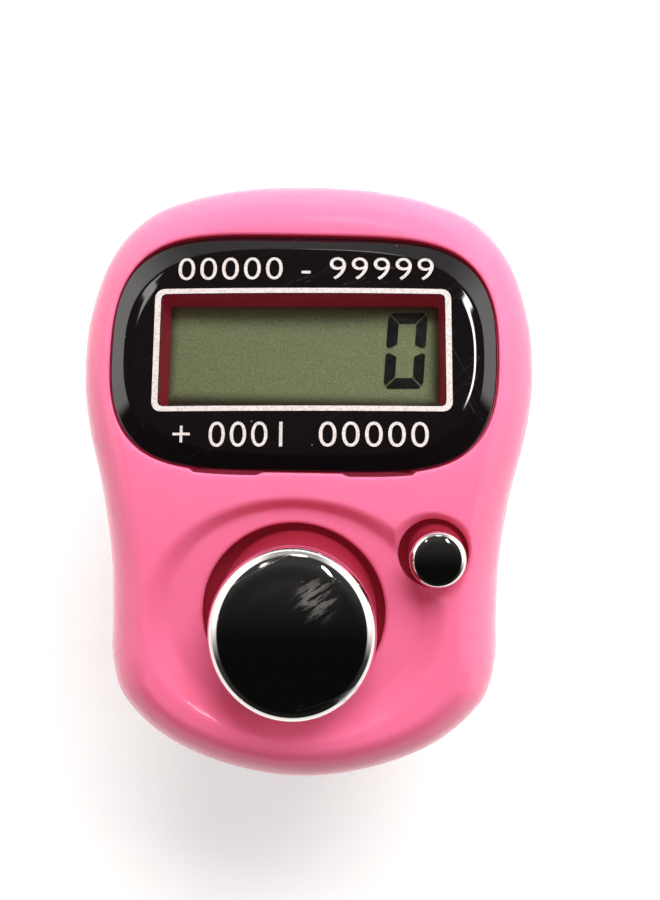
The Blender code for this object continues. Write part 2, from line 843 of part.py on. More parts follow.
def make_strap(material):
    """One moulded band: a thick head behind the slot, a plain loop and a toothed free end."""
    route = strap_route()
    middle = strap_thickness / 2
    head_depth = anchor_head / 2
    shoulder = anchor_head_height
    edge = layer_gap
    depths = [(0.0, head_depth, head_depth), (shoulder, head_depth, head_depth),
              (shoulder + edge, middle, middle)]
    teeth_from = route.runs[3][0] + route.runs[3][1] * tooth_start_share
    tooth_count = int((route.length - teeth_from - tooth_pitch) / tooth_pitch)
    for tooth in range(tooth_count):
        start = teeth_from + tooth * tooth_pitch
        depths.append((start, middle, middle))
        depths.append((start + tooth_pitch * tooth_rise_share, middle, middle + tooth_height))
        depths.append((start + tooth_pitch * tooth_edge_share, middle, middle))
    teeth_to = teeth_from + tooth_count * tooth_pitch
    plain = [mark for mark in route.stops() if mark > shoulder + tooth_pitch]
    depths += [(mark, middle, middle) for mark in plain if not teeth_from <= mark < teeth_to]
    stations = []
    for distance, inner, outer in sorted(depths):
        point, outward = route.place(distance)
        stations.append((point, outward, inner, outer))
    put(band(stations, strap_width / 2), "strap", material)


# Battery contacts
contact_width = 0.0030
contact_foot = 0.0024


def leaf(route_points, thickness):
    """Stations of a bent leaf through a few points, its outer side to the right of the way."""
    points = [Vector(point) for point in route_points]
    stations = []
    for i, point in enumerate(points):
        first = points[max(i - 1, 0)]
        last = points[min(i + 1, len(points) - 1)]
        ahead = (last - first).normalized()
        into = (point - first).normalized() if i else ahead
        outward = Vector((ahead.y, -ahead.x))
        stretch = 1 / max(ahead.dot(into), 0.5)
        stations.append((point, outward * stretch, thickness / 2, thickness / 2))
    return stations


def make_contacts(material):
    """Positive leaf beside the cell and negative leaf above it, both under the board."""
    half = leaf_thickness / 2
    wall_x = battery_diameter / 2 + seat_gap + half
    under_board = board_low_z - layer_gap - half
    path = ((wall_x, door_pad_z + 2 * seat_gap), (wall_x, under_board),
            (wall_x + contact_foot, under_board))
    positive = put(band(leaf(path, leaf_thickness), contact_width / 2), "contact_positive", material)
    positive.rotation_euler = (0.0, 0.0, -quarter_turn)
    on_cell = battery_top_z + layer_gap + half
    far = battery_diameter / 2
    path = ((-far, under_board), (-contact_foot, under_board), (-contact_foot / 2, on_cell),
            (contact_foot / 2, on_cell), (contact_foot, under_board - half))
    negative = put(band(leaf(path, leaf_thickness), contact_width / 2), "contact_negative", material)
    negative.rotation_euler = (0.0, 0.0, -quarter_turn)


battery_cap_share = 0.86
battery_step = battery_thickness * 0.10
battery_edge = battery_thickness * 0.13


def make_battery(material):
    """Button cell: a can with rounded lower edge, a crimped rim and the smaller cap on top."""
    radius = battery_diameter / 2
    cap = radius * battery_cap_share
    low, top = battery_low_z, battery_top_z
    rim = top - battery_step
    profile = ((0.0, top), (cap - battery_edge, top), (cap, top - battery_edge / 2),
               (cap, rim), (radius - battery_edge, rim), (radius, rim - battery_edge),
               (radius, low + battery_edge), (radius - battery_edge / 3, low + battery_edge / 3),
               (radius - battery_edge, low), (0.0, low))
    put(turned(profile, dish_steps), "battery", material)


def make_screw(name, place, seat_z, head_height, tip, material):
    """Self-tapping screw whose head faces down, with a cross recess and a tapered tip."""
    head, shank = screw_head / 2, screw_diameter / 2
    low = seat_z - head_height
    edge = head_height / 4
    taper = min(shank, (tip - seat_z) / 2)
    profile = ((0.0, tip), (shank / 2, tip), (shank, tip - taper), (shank, seat_z),
               (head, seat_z), (head, low + edge), (head - edge, low), (0.0, low))
    screw = put(turned(profile, screw_steps), name, material, location=(*place, 0.0))
    arm, half = head * 0.62, head * 0.14
    plus = [(arm, half), (half, half), (half, arm), (-half, arm), (-half, half), (-arm, half),
            (-arm, -half), (-half, -half), (-half, -arm), (half, -arm), (half, -half), (arm, -half)]
    recess = put(prism(plus, low - overrun, low + head_height / 2), name + "_recess",
                 group=screw)
    cut(screw, recess)


door_counterbore = 0.0005
door_screw_head_height = 0.0004
grip_count = 3
grip_pitch = 0.0012
grip_width = 0.0005
grip_length = 0.0050
grip_depth = 0.0003


def make_battery_door(material, screw_material):
    """Flat door with a tongue at one end, a countersunk screw at the other and grip grooves."""
    door = put(prism(door_outline(0.0), back_z, back_z + door_thickness), "battery_door", material)
    add(door, put(door_tongue(0.0), "door_tongue"))
    place = (door_screw_x, battery_y)
    hole = prism(circle(screw_hole / 2, post_steps, place), back_z - overrun,
                 back_z + door_thickness + overrun)
    cut(door, put(hole, "door_hole"))
    bore = prism(circle(screw_bore / 2, post_steps, place), back_z - overrun,
                 back_z + door_counterbore)
    cut(door, put(bore, "door_counterbore"))
    grooves = []
    for number in range(grip_count):
        x = door_shift - door_width / 2 + door_radius + number * grip_pitch
        grooves.append(rectangle((x - grip_width / 2, -grip_length / 2),
                                 (x + grip_width / 2, grip_length / 2)))
    cut(door, put(prisms(grooves, back_z - overrun, back_z + grip_depth), "door_grooves"))
    return door


# Small parts on the board
blob_radius = 0.0031
blob_height = 0.0011
blob_place = (-lcd_width / 4, lens_y - lens_height / 4)
crystal_diameter = 0.0020
crystal_length = 0.0058
crystal_place = (lcd_width / 6, lens_y - lens_height / 3)
chip_row_y = lens_y - lens_height / 12
chip_parts = (
    ("capacitor_1", 0.0020, 0.0012, 0.0009, (lcd_width / 15, chip_row_y)),
    ("capacitor_2", 0.0020, 0.0012, 0.0009, (lcd_width / 4.5, chip_row_y)),
    ("resistor_1", 0.0016, 0.0008, 0.0005, (lcd_width / 2.6, chip_row_y)),
)
chip_edge_share = 0.12


def make_board(materials):
    """Circuit board cut to the case, with notches for the posts, and the parts soldered to it."""
    board = put(prism(case_outline(board_inset), board_low_z, board_top_z), "circuit_board",
                materials["board"])
    trim = rectangle((-case_width, board_end_y), (case_width, case_length))
    cut(board, put(prism(trim, board_low_z - overrun, board_top_z + overrun), "board_trim"))
    for number, (x, y) in enumerate(case_screw_places[2:]):
        notch = prism(circle(post_diameter / 2 + side_gap, post_steps, (x, y)),
                      board_low_z - overrun, board_top_z + overrun)
        cut(board, put(notch, f"board_notch_{number + 1}"))
    for number, (x, y) in enumerate(board_screw_places):
        hole = prism(circle(screw_hole / 2, post_steps, (x, y)),
                     board_low_z - overrun, board_top_z + overrun)
        cut(board, put(hole, f"board_hole_{number + 1}"))

    on_board = board_top_z + layer_gap
    blob = ((0.0, blob_height), (blob_radius * 0.35, blob_height * 0.93),
            (blob_radius * 0.68, blob_height * 0.70), (blob_radius * 0.92, blob_height * 0.36),
            (blob_radius, 0.0), (0.0, 0.0))
    put(turned(blob, reset_steps), "chip_blob", materials["epoxy"], location=(*blob_place, on_board))
    radius = crystal_diameter / 2
    edge = radius / 4
    can = ((0.0, crystal_length), (radius - edge, crystal_length), (radius, crystal_length - edge),
           (radius, edge), (radius - edge, 0.0), (0.0, 0.0))
    crystal = put(turned(can, post_steps), "crystal", materials["metal"],
                  location=(*crystal_place, on_board + radius))
    crystal.rotation_euler = (0.0, quarter_turn, 0.0)
    for name, length, width, height, place in chip_parts:
        shape = rounded_rectangle(length, width, width * chip_edge_share, steps=1)
        put(prism(shape, 0.0, height), name, materials["ceramic"], location=(*place, on_board))


def dome_profile(outer, top_radius, height, wall):
    """Half section of a rubber dome, open below: outside from its top down, then back inside."""
    skirt = height * 0.25
    return [(0.0, height), (top_radius, height), (top_radius + wall / 2, height - wall),
            (outer - wall * 1.5, skirt + wall / 2), (outer, skirt), (outer, 0.0),
            (outer - wall, 0.0), (outer - wall * 2, skirt), (top_radius, height - wall * 2),
            (0.0, height - wall * 2)]


count_dome_radius = 0.0042
reset_dome_radius = 0.0024
dome_pressed_height = 0.0009
count_dome_height = count_travel + dome_pressed_height
reset_dome_height = reset_travel + dome_pressed_height


def make_button(name, group, radius, rise, flange_top, dome_name, dome_radius, dome_height,
                button_material, dome_material, steps):
    """A button on its axis, and the rubber dome under its plunger on the flat board."""
    lean = math.cos(button_tilt)
    dome_low = board_top_z + layer_gap
    dome_top = dome_low + dome_height
    wall = min(button_wall, radius * 0.4)
    plunger_low = (dome_top + side_gap - group.location.z) / lean
    place_y = group.location.y - plunger_low * math.sin(button_tilt)
    profile = button_profile(radius, rise, flange_top, plunger_low, wall)
    put(turned(profile, steps), name, button_material, group)
    dome = dome_profile(dome_radius, plunger_diameter / 2, dome_height, dome_wall)
    put(turned(dome, reset_steps), dome_name, dome_material,
        location=(group.location.x, place_y, dome_low))


def make_ribbon(display, material):
    """Heat-sealed ribbon from the ledge of the cell, through the frame's gate, to the board."""
    sine, cosine = math.sin(display_tilt), math.cos(display_tilt)
    seal_y = window_rise - lcd_height / 2 + frame_wall
    seal_z = lcd_low_z - layer_gap - ribbon_thickness / 2
    ledge = (display.location.y + seal_y * cosine + seal_z * sine,
             display.location.z - seal_y * sine + seal_z * cosine)
    on_board = board_top_z + layer_gap + ribbon_thickness / 2
    run = frame_wall * 2
    start = (ledge[0] + run * cosine * 0.5, ledge[1] - run * sine * 0.5)
    out = (ledge[0] - run * cosine, ledge[1] + run * sine)
    fold = (out[0] - run, (out[1] * 2 + on_board) / 3)
    knee = (fold[0] - frame_wall / 2, (out[1] + on_board * 3) / 4)
    foot = (knee[0] - run / 2, on_board)
    end = (foot[0] - run, on_board)
    path = (start, ledge, out, fold, knee, foot, end)
    put(band(leaf(path, ribbon_thickness), ribbon_width / 2), "lcd_ribbon", material)


def main():
    clear_scene()
    materials = {
        "case": make_material("pink_plastic", (0.93, 0.25, 0.45), 0.22),
        "strap": make_material("soft_pink", (0.90, 0.24, 0.43), 0.50),
        "lens": make_material("black_lens", (0.010, 0.008, 0.010), 0.06),
        "tape": make_material("black_tape", (0.02, 0.02, 0.02), 0.70),
        "glass": make_material("cell_glass", (0.20, 0.22, 0.14), 0.10),
        "film": make_material("polariser_film", (0.18, 0.19, 0.13), 0.20),
        "reflector": make_material("reflector_film", (0.45, 0.46, 0.42), 0.40),
        "frame": make_material("white_plastic", (0.80, 0.80, 0.78), 0.45),
        "ribbon": make_material("ribbon_film", (0.45, 0.22, 0.06), 0.40),
        "board": make_material("board_green", (0.02, 0.13, 0.05), 0.45),
        "epoxy": make_material("black_epoxy", (0.01, 0.01, 0.01), 0.30),
        "ceramic": make_material("chip_ceramic", (0.45, 0.33, 0.20), 0.55),
        "metal": make_material("bright_metal", (0.75, 0.75, 0.74), 0.25, 1.0),
        "chrome": make_material("chrome_plating", (0.80, 0.78, 0.76), 0.05, 1.0),
        "rubber": make_material("grey_rubber", (0.55, 0.55, 0.53), 0.65),
        "spring": make_material("contact_metal", (0.72, 0.66, 0.52), 0.30, 1.0),
        "steel": make_material("screw_steel", (0.50, 0.50, 0.50), 0.35, 1.0),
    }
    display = make_group("display_plane", (0.0, lens_y, face_height(0.0, lens_y)), -display_tilt)
    count_group = make_group("count_axis", (count_x, count_y, face_height(count_x, count_y)),
                             button_tilt)
    reset_group = make_group("reset_axis", (reset_x, reset_y, face_height(reset_x, reset_y)),
                             button_tilt)

    make_front_case(materials["case"], display, count_group, reset_group)
    make_back_case(materials["case"])
    make_display(display, materials)
    make_board(materials)
    make_ribbon(display, materials["ribbon"])

    count_flange = -dish_depth - case_wall - side_gap
    make_button("count_button", count_group, count_diameter / 2, count_rise, count_flange,
                "count_dome", count_dome_radius, count_dome_height, materials["chrome"],
                materials["rubber"], button_steps)
    reset_flange = -reset_dish_depth - case_wall - side_gap - reset_flange_drop
    make_button("reset_button", reset_group, reset_diameter / 2, reset_rise, reset_flange,
                "reset_dome", reset_dome_radius, reset_dome_height, materials["chrome"],
                materials["rubber"], reset_steps)

    make_contacts(materials["spring"])
    make_battery(materials["metal"])
    make_battery_door(materials["case"], materials["steel"])
    make_strap(materials["strap"])

    for number, place in enumerate(case_screw_places):
        make_screw(f"case_screw_{number + 1}", place, screw_seat_z - seat_gap, screw_head_height,
                   screw_hole_top(place) - side_gap, materials["steel"])
    for number, place in enumerate(board_screw_places):
        make_screw(f"board_screw_{number + 1}", place, board_low_z - seat_gap, screw_head_height,
                   screw_hole_top(place) - side_gap, materials["steel"])
    make_screw("door_screw", (door_screw_x, battery_y), back_z + door_counterbore - layer_gap,
               door_screw_head_height, parting_z - frame_wall - side_gap, materials["steel"])


main()
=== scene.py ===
"""Looks of an electronic tally counter worn on a finger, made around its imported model.

X runs along the reading direction, Y towards the top of the display, Z out of the face. The
sizes of the pieces are in millimetres, and their meshes are in metres like the model itself.
"""
import math

import bmesh
import bpy
import numpy as np
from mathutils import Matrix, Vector, kdtree
from mathutils.geometry import delaunay_2d_cdt


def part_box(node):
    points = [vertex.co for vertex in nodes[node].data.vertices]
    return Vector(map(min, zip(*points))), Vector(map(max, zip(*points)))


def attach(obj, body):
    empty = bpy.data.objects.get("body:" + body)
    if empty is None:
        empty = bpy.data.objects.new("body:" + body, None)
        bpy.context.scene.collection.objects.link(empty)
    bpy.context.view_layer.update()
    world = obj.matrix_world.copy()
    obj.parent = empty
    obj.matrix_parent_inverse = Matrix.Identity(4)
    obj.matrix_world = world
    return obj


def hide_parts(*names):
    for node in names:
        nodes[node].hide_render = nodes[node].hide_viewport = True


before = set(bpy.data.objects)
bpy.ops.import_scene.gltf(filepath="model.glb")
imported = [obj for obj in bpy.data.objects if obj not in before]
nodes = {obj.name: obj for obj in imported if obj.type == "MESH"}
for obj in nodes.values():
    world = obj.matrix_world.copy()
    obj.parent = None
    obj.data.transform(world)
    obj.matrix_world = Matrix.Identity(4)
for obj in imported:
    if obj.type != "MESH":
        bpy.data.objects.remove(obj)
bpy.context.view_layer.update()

MM = 0.001


# Camera: straight above the lower corner of the display, as near as a phone is held, and turned
# by a degree. The shift puts the counter a little left of the middle of the frame.
def put(name, data):
    """A new object in the scene."""
    made = bpy.data.objects.new(name, data)
    bpy.context.scene.collection.objects.link(made)
    return made


focal_pixels, image_height, sensor_height = 1013.0, 900.0, 24.0
camera_data = bpy.data.cameras.new("camera")
camera_data.sensor_fit = "VERTICAL"
camera_data.sensor_height = sensor_height
camera_data.lens = focal_pixels / image_height * sensor_height
camera_data.shift_x, camera_data.shift_y = -0.042, -0.056
camera_data.clip_start, camera_data.clip_end = 0.002, 20.0
camera = put("camera", camera_data)
camera.location = (0.0042, 0.0058, 0.0956)
camera.rotation_euler = (0.0, 0.0, math.radians(1.0))
bpy.context.scene.camera = camera


# Back case: the rear half of the housing, moulded in one with the screw wells, the battery well,
# the slot that holds the head of the strap and the buckle that its toothed end runs through.
case_length, case_width = 42.0, 32.0
back_z, back_top_z, back_floor_z = 17.6, 21.4, 18.8
back_roll, back_inset, back_edge = 1.3, 0.1, 0.15
lip_inset, lip_width, lip_top_z = 1.5, 0.6, 22.3
outline_steps = 264
outline_shares = np.array((
    (0.000, 1.000), (0.280, 0.990), (0.527, 0.953), (0.733, 0.885), (0.889, 0.750),
    (0.980, 0.547), (1.000, 0.343), (0.972, 0.165), (0.905, -0.045), (0.863, -0.266),
    (0.856, -0.470), (0.853, -0.604), (0.796, -0.739), (0.602, -0.875), (0.320, -0.965),
    (0.000, -1.000)))


def travelled(path):
    """The distance along a path at each of its points."""
    return np.r_[0, np.cumsum(np.linalg.norm(np.diff(path, axis=0), axis=1))]


def even_loop(plan, count):
    """A closed plan with its points at even distances."""
    closed = np.vstack([plan, plan[:1]])
    marks = travelled(closed)
    stops = np.linspace(0, marks[-1], count, endpoint=False)
    return np.column_stack([np.interp(stops, marks, closed[:, k]) for k in (0, 1)])


def case_curve(count):
    """The outline of the case, clockwise from its top."""
    half = outline_shares * (case_width / 2, case_length / 2)
    corners = np.vstack([half, half[-2:0:-1] * (-1, 1)])
    share = np.linspace(0, 1, 24, endpoint=False)[:, None]
    spans = []
    for i in range(len(corners)):
        before, start, end, after = (corners[(i + k) % len(corners)] for k in (-1, 0, 1, 2))
        spans.append((2 * start + (end - before) * share
                      + (2 * before - 5 * start + 4 * end - after) * share ** 2
                      + (3 * start - before - 3 * end + after) * share ** 3) / 2)
    return even_loop(np.vstack(spans), count)


case_edge = case_curve(outline_steps)
case_along = np.roll(case_edge, -1, axis=0) - np.roll(case_edge, 1, axis=0)
case_inward = np.column_stack([case_along[:, 1], -case_along[:, 0]])
case_inward /= np.linalg.norm(case_inward, axis=1)[:, None]


def lifted(plan, level):
    """Points of a plan at one height, or at a height for each point."""
    return np.column_stack([np.asarray(plan)[:, :2], np.broadcast_to(level, len(plan))])


def case_ring(inset, level):
    """The outline of the case, moved inwards."""
    return lifted(case_edge + case_inward * inset, level)


def circle(radius, steps, centre=(0.0, 0.0), level=0.0):
    turn = np.linspace(0, 2 * math.pi, steps, endpoint=False)
    return lifted(np.column_stack([centre[0] + radius * np.cos(turn),
                                   centre[1] + radius * np.sin(turn)]), level)


def rounded_box(width, height, radius, centre=(0.0, 0.0), level=0.0, steps=6):
    """Rectangle with round corners."""
    corners = []
    for quarter, (side_x, side_y) in enumerate(((1, 1), (-1, 1), (-1, -1), (1, -1))):
        angle = np.linspace(0, math.pi / 2, steps + 1) + quarter * math.pi / 2
        corners.append(np.column_stack([
            centre[0] + side_x * (width / 2 - radius) + radius * np.cos(angle),
            centre[1] + side_y * (height / 2 - radius) + radius * np.sin(angle)]))
    return lifted(np.vstack(corners), level)


def rounding(steps):
    """Shares of the radius that a rounded edge still reaches out and has gone down."""
    return [(1 - math.sin(turn), 1 - math.cos(turn)) for turn in np.linspace(0, math.pi / 2, steps)]


def inside(points, loop):
    """Which of the points lie inside a closed loop, seen in plan."""
    x, y = points[:, 0][:, None], points[:, 1][:, None]
    x1, y1 = loop[:, 0][None], loop[:, 1][None]
    x2, y2 = np.roll(x1, -1, axis=1), np.roll(y1, -1, axis=1)
    spans = (y1 > y) != (y2 > y)
    rise = np.where(y2 == y1, 1.0, y2 - y1)
    return (spans & (x < x1 + (y - y1) * (x2 - x1) / rise)).sum(axis=1) % 2 == 1


def add_piece(name, mesh, body, replaced=()):
    """A piece that rides on its body."""
    piece = put(name, mesh)
    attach(piece, body)
    if replaced:
        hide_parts(*replaced)


class Moulding:
    """Gathers the loops of points and the faces of one piece, in millimetres."""

    def __init__(self):
        self.points, self.faces, self.painted_shade_faces = [], [], []

    def loop(self, points):
        start = len(self.points)
        self.points.extend(tuple(float(value) for value in point) for point in points)
        return list(range(start, len(self.points)))

    def bridge(self, first, second):
        for i in range(len(first)):
            j = (i + 1) % len(first)
            self.faces.append((first[i], first[j], second[j], second[i]))

    def run(self, rings):
        """Loops through a run of rings, joined one to the next. Returns the first and the last."""
        loops = [self.loop(ring) for ring in rings]
        for first, second in zip(loops, loops[1:]):
            self.bridge(first, second)
        return loops[0], loops[-1]

    def solid(self, rings):
        """A run of rings with a face at each end."""
        self.faces += [tuple(loop) for loop in self.run(rings)]

    def fill(self, loops, free=()):
        """Triangles inside the first loop, outside the others, over the free points."""
        names = [name for loop in loops for name in loop] + self.loop(free)
        edges, start = [], 0
        for loop in loops:
            count = len(loop)
            edges += [(start + k, start + (k + 1) % count) for k in range(count)]
            start += count
        plan = [Vector(self.points[name][:2]) for name in names]
        places, _, triangles, origins, _, _ = delaunay_2d_cdt(plan, edges, [], 0, 1e-6)
        flat = np.array([tuple(place) for place in places])
        triangles = np.array([tuple(face) for face in triangles])
        middles = flat[triangles].mean(axis=1)
        rims = [np.array([self.points[name][:2] for name in loop]) for loop in loops]
        kept = inside(middles, rims[0])
        for rim in rims[1:]:
            kept &= ~inside(middles, rim)
        for face in triangles[kept]:
            self.faces.append(tuple(names[origins[corner][0]] for corner in face))

    def plug(self, loop, level):
        """Closes a loop with a single point at its middle."""
        middle = np.mean([self.points[name] for name in loop], axis=0)
        self.fan(loop, (middle[0], middle[1], level))

    def fan(self, loop, point):
        """Closes a loop with a single point."""
        tip = self.loop([point])[0]
        self.faces += [(name, loop[(i + 1) % len(loop)], tip) for i, name in enumerate(loop)]

    def tube(self, centre, hole, radius, low, high, steps=32, blind=None):
        """A boss with a hole right through it, or blind from below up to a height."""
        outer, outer_top = self.run([circle(radius, steps, centre, z) for z in (low, high)])
        inner, inner_top = self.run([circle(hole, steps, centre, z) for z in (low, blind or high)])
        if blind:
            self.plug(inner_top, blind)
            self.plug(outer_top, high)
        else:
            self.bridge(outer_top, inner_top)
        self.bridge(outer, inner)

    def make(self, name, material, body, replaced=(), sharp=38.0, painted_shade=None):
        """The finished piece, smooth except at its sharp edges. The faces noted as in shade take a
        second material, a darker copy of the plastic that paints shade on them."""
        mesh = bpy.data.meshes.new(name)
        mesh.from_pydata([tuple(value * MM for value in point) for point in self.points], [],
                         self.faces)
        builder = bmesh.new()
        builder.from_mesh(mesh)
        loose = [vertex for vertex in builder.verts if not vertex.link_faces]
        bmesh.ops.delete(builder, geom=loose, context="VERTS")
        bmesh.ops.recalc_face_normals(builder, faces=builder.faces)
        builder.to_mesh(mesh)
        builder.free()
        mesh.shade_smooth()
        mesh.set_sharp_from_angle(angle=math.radians(sharp))
        mesh.materials.append(material)
        if painted_shade:
            mesh.materials.append(painted_shade)
            for number in self.painted_shade_faces:
                mesh.polygons[number].material_index = 1
        add_piece(name, mesh, body, replaced)


class Shading:
    """Adds nodes to a shader tree. A value is a number, a colour or the socket that feeds it."""

    def __init__(self, tree):
        self.tree = tree

    def feed(self, socket, value):
        if isinstance(value, bpy.types.NodeSocket):
            self.tree.links.new(value, socket)
        else:
            socket.default_value = (*value, 1.0) if socket.type == "RGBA" else value

    def node(self, kind, inputs=(), **settings):
        made = self.tree.nodes.new("ShaderNode" + kind)
        for name, value in settings.items():
            setattr(made, name, value)
        for socket, value in dict(inputs).items():
            self.feed(made.inputs[socket], value)
        return made

    def place(self, kind="Object"):
        return self.node("TexCoord").outputs[kind]

    def lay(self, place, kind="POINT", **values):
        """The place, moved, turned or stretched."""
        values["Vector"] = place
        return self.node("Mapping", values, vector_type=kind).outputs["Vector"]

    def distance(self, place):
        return self.node("VectorMath", {0: place}, operation="LENGTH").outputs["Value"]

    def noise(self, place, size, detail=2.0, rough=0.5, warp=0.0):
        return self.node("TexNoise", {"Vector": place, "Scale": size, "Detail": detail,
                                      "Roughness": rough, "Distortion": warp}).outputs["Fac"]

    def math(self, operation, *values):
        return self.node("Math", enumerate(values), operation=operation).outputs[0]

    def scaled(self, value, factor, offset=0.0):
        return self.math("MULTIPLY_ADD", value, factor, offset)

    def ramp(self, value, low, high, start=0.0, end=1.0, kind="SMOOTHSTEP"):
        """Goes from start to end while the value goes from low to high."""
        return self.node("MapRange", enumerate((value, low, high, start, end)),
                         interpolation_type=kind).outputs[0]

    def blend(self, share, low, high):
        """A number between two, by a mask."""
        return self.node("Mix", {0: share, 2: low, 3: high}).outputs[0]

    def colour(self, share, low, high):
        """A colour between two, by a mask."""
        return self.node("Mix", {0: share, 6: low, 7: high}, data_type="RGBA").outputs[2]

    def bump(self, height, strength, distance):
        return self.node("Bump", {"Height": height, "Strength": strength,
                                  "Distance": distance}).outputs["Normal"]

    def marks(self, **sizes):
        """The masks of the smears, the scratches and the dust."""
        return self.node("Group", {label.replace("_", " "): size for label, size in sizes.items()},
                         node_tree=marks_tree).outputs


# Handling marks, one group for every glossy surface: soft smears, fine scratches in three
# directions and specks of dust, each as a mask that changes over the surface.
marks_tree = bpy.data.node_groups.new("handling_marks", "ShaderNodeTree")
for label, size in (("Smear Size", 300.0), ("Scratch Size", 900.0), ("Dust Size", 900.0),
                    ("Scratch Width", 0.03), ("Dust Share", 0.12)):
    marks_tree.interface.new_socket(label, in_out="INPUT",
                                    socket_type="NodeSocketFloat").default_value = size
for label in ("Smears", "Scratches", "Dust"):
    marks_tree.interface.new_socket(label, in_out="OUTPUT", socket_type="NodeSocketFloat")
marks = Shading(marks_tree)
sizes = marks_tree.nodes.new("NodeGroupInput").outputs
place = marks.place()
smears = marks.ramp(marks.noise(place, sizes["Smear Size"], 4.0, 0.62, 0.6), 0.48, 0.74)
scratches = None
for turn, stretch in ((0.5, 18.0), (-1.1, 12.0), (2.2, 16.0)):
    lay = marks.lay(place, "TEXTURE", Rotation=(0.0, 0.0, turn), Scale=(1.0, stretch, 2.5))
    lines = marks.noise(lay, sizes["Scratch Size"], warp=0.25)
    away = marks.math("ABSOLUTE", marks.math("SUBTRACT", lines, 0.5))
    hair = marks.ramp(away, 0.0, sizes["Scratch Width"], 1.0, 0.0, kind="LINEAR")
    patch = marks.ramp(marks.noise(lay, 420.0, 1.0), 0.55, 0.68, kind="LINEAR")
    broken = marks.math("MULTIPLY", hair, patch)
    scratches = broken if scratches is None else marks.math("MAXIMUM", scratches, broken)
cells = marks.node("TexVoronoi", {"Vector": place, "Scale": sizes["Dust Size"]}, feature="F1")
pick = marks.node("SeparateColor", {"Color": cells.outputs["Color"]}).outputs[0]
speck = marks.ramp(cells.outputs["Distance"], 0.0, sizes["Dust Share"], 1.0, 0.0, kind="LINEAR")
dust = marks.math("MULTIPLY", speck, marks.math("GREATER_THAN", pick, 0.93))
marks_out = marks_tree.nodes.new("NodeGroupOutput").inputs
for label, mask in (("Smears", smears), ("Scratches", scratches), ("Dust", dust)):
    marks.feed(marks_out[label], mask)


class Surface(Shading):
    """A material. The values set the sockets of its Principled shader."""

    def __init__(self, name, **values):
        self.material = bpy.data.materials.new(name)
        self.material.use_nodes = True
        super().__init__(self.material.node_tree)
        self.set(**values)

    def set(self, **values):
        for label, value in values.items():
            self.feed(self.tree.nodes["Principled BSDF"].inputs[label.replace("_", " ")], value)


def moulded_plastic(name, tone, deep_tone, roughness, glow, painted_glow_strength=1.0, ior=1.38):
    """Glossy moulded plastic: flow tone, orange peel and wear, and a weak red emission, a painted
    glow that stands in for the light travelling inside it and is all that its deep corners show."""
    # The red emission is a painted glow: the plastic gives off light though it is no lamp.
    plastic = Surface(name, Subsurface_Weight=glow, Subsurface_Radius=(1.0, 0.22, 0.30),
                      Subsurface_Scale=0.0022, Emission_Color=(0.130, 0.005, 0.011),
                      Emission_Strength=painted_glow_strength, IOR=ior)
    place = plastic.place()
    smears, scratches, dust = plastic.marks(Scratch_Size=700.0, Scratch_Width=0.012,
                                            Dust_Size=420.0, Dust_Share=0.055)
    flow = plastic.scaled(plastic.noise(place, 70.0, 3.0, warp=0.8), 0.55)
    relief = plastic.math("ADD", plastic.scaled(plastic.noise(place, 1300.0), 0.6),
                          plastic.scaled(scratches, -0.5))
    plastic.set(
        Base_Color=plastic.colour(plastic.scaled(dust, 0.5), plastic.colour(flow, tone, deep_tone),
                                  (0.95, 0.72, 0.80)),
        Roughness=plastic.math("ADD", plastic.scaled(smears, 0.10, roughness),
                               plastic.scaled(scratches, 0.12)),
        Normal=plastic.bump(relief, 0.10, 0.00004))
    return plastic.material


pink_plastic = moulded_plastic("pink_plastic", (0.820, 0.195, 0.360), (0.800, 0.165, 0.310),
                               0.13, 0.5)
# A darker copy of the pink plastic with a weaker painted glow. It is painted shade for the walls of
# openings and the sides of the caps, which lie in shade.
painted_shade_plastic = moulded_plastic("painted_shade_pink_plastic", (0.250, 0.018, 0.036),
                                 (0.190, 0.012, 0.026), 0.35, 0.0, 0.6, 1.25)

door_width, door_height, door_radius = 17.9, 13.8, 2.2
door_centre, door_screw_place = (1.7, 0.0), (8.6, 0.0)
door_gap, door_roof_z = 0.3, 18.7
battery_hole = 6.1
screw_hole, screw_bore, screw_seat_z = 1.0, 1.75, 19.3


def node_middle(name):
    """The middle of a node of the model in plan, in millimetres."""
    low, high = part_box(name)
    return ((low[0] + high[0]) / 2 / MM, (low[1] + high[1]) / 2 / MM)


case_screw_places = [node_middle(f"case_screw_{number}") for number in (1, 2, 3, 4)]
board_screw_places = [node_middle(f"board_screw_{number}") for number in (1, 2)]

back = Moulding()
back_rings = [case_ring(lip_inset, back_top_z)]
back_rings += [case_ring(back_inset + back_edge * out, back_top_z - back_edge * down)
               for out, down in rounding(4)]
back_rings += [case_ring(back_inset + back_roll * out, back_z + back_roll * down)
               for out, down in reversed(rounding(9))]
lip_foot, back_face = back.run(back_rings)
lip_rim, back_inner_floor = back.run([
    case_ring(inset, level) for inset, level in (
        (lip_inset, lip_top_z), (lip_inset + lip_width, lip_top_z),
        (lip_inset + lip_width, back_floor_z))])
back.bridge(lip_foot, lip_rim)


def rim_rings(shape, size, low, high, fillet):
    """Rings of an opening from its rounded rim on a level face up to the end of its wall."""
    return ([shape(size + fillet * out, low + fillet * down) for out, down in rounding(4)]
            + [shape(size, high)])


def door_shape(growth, level):
    return rounded_box(door_width + 2 * growth, door_height + 2 * growth, door_radius + growth,
                       door_centre, level)


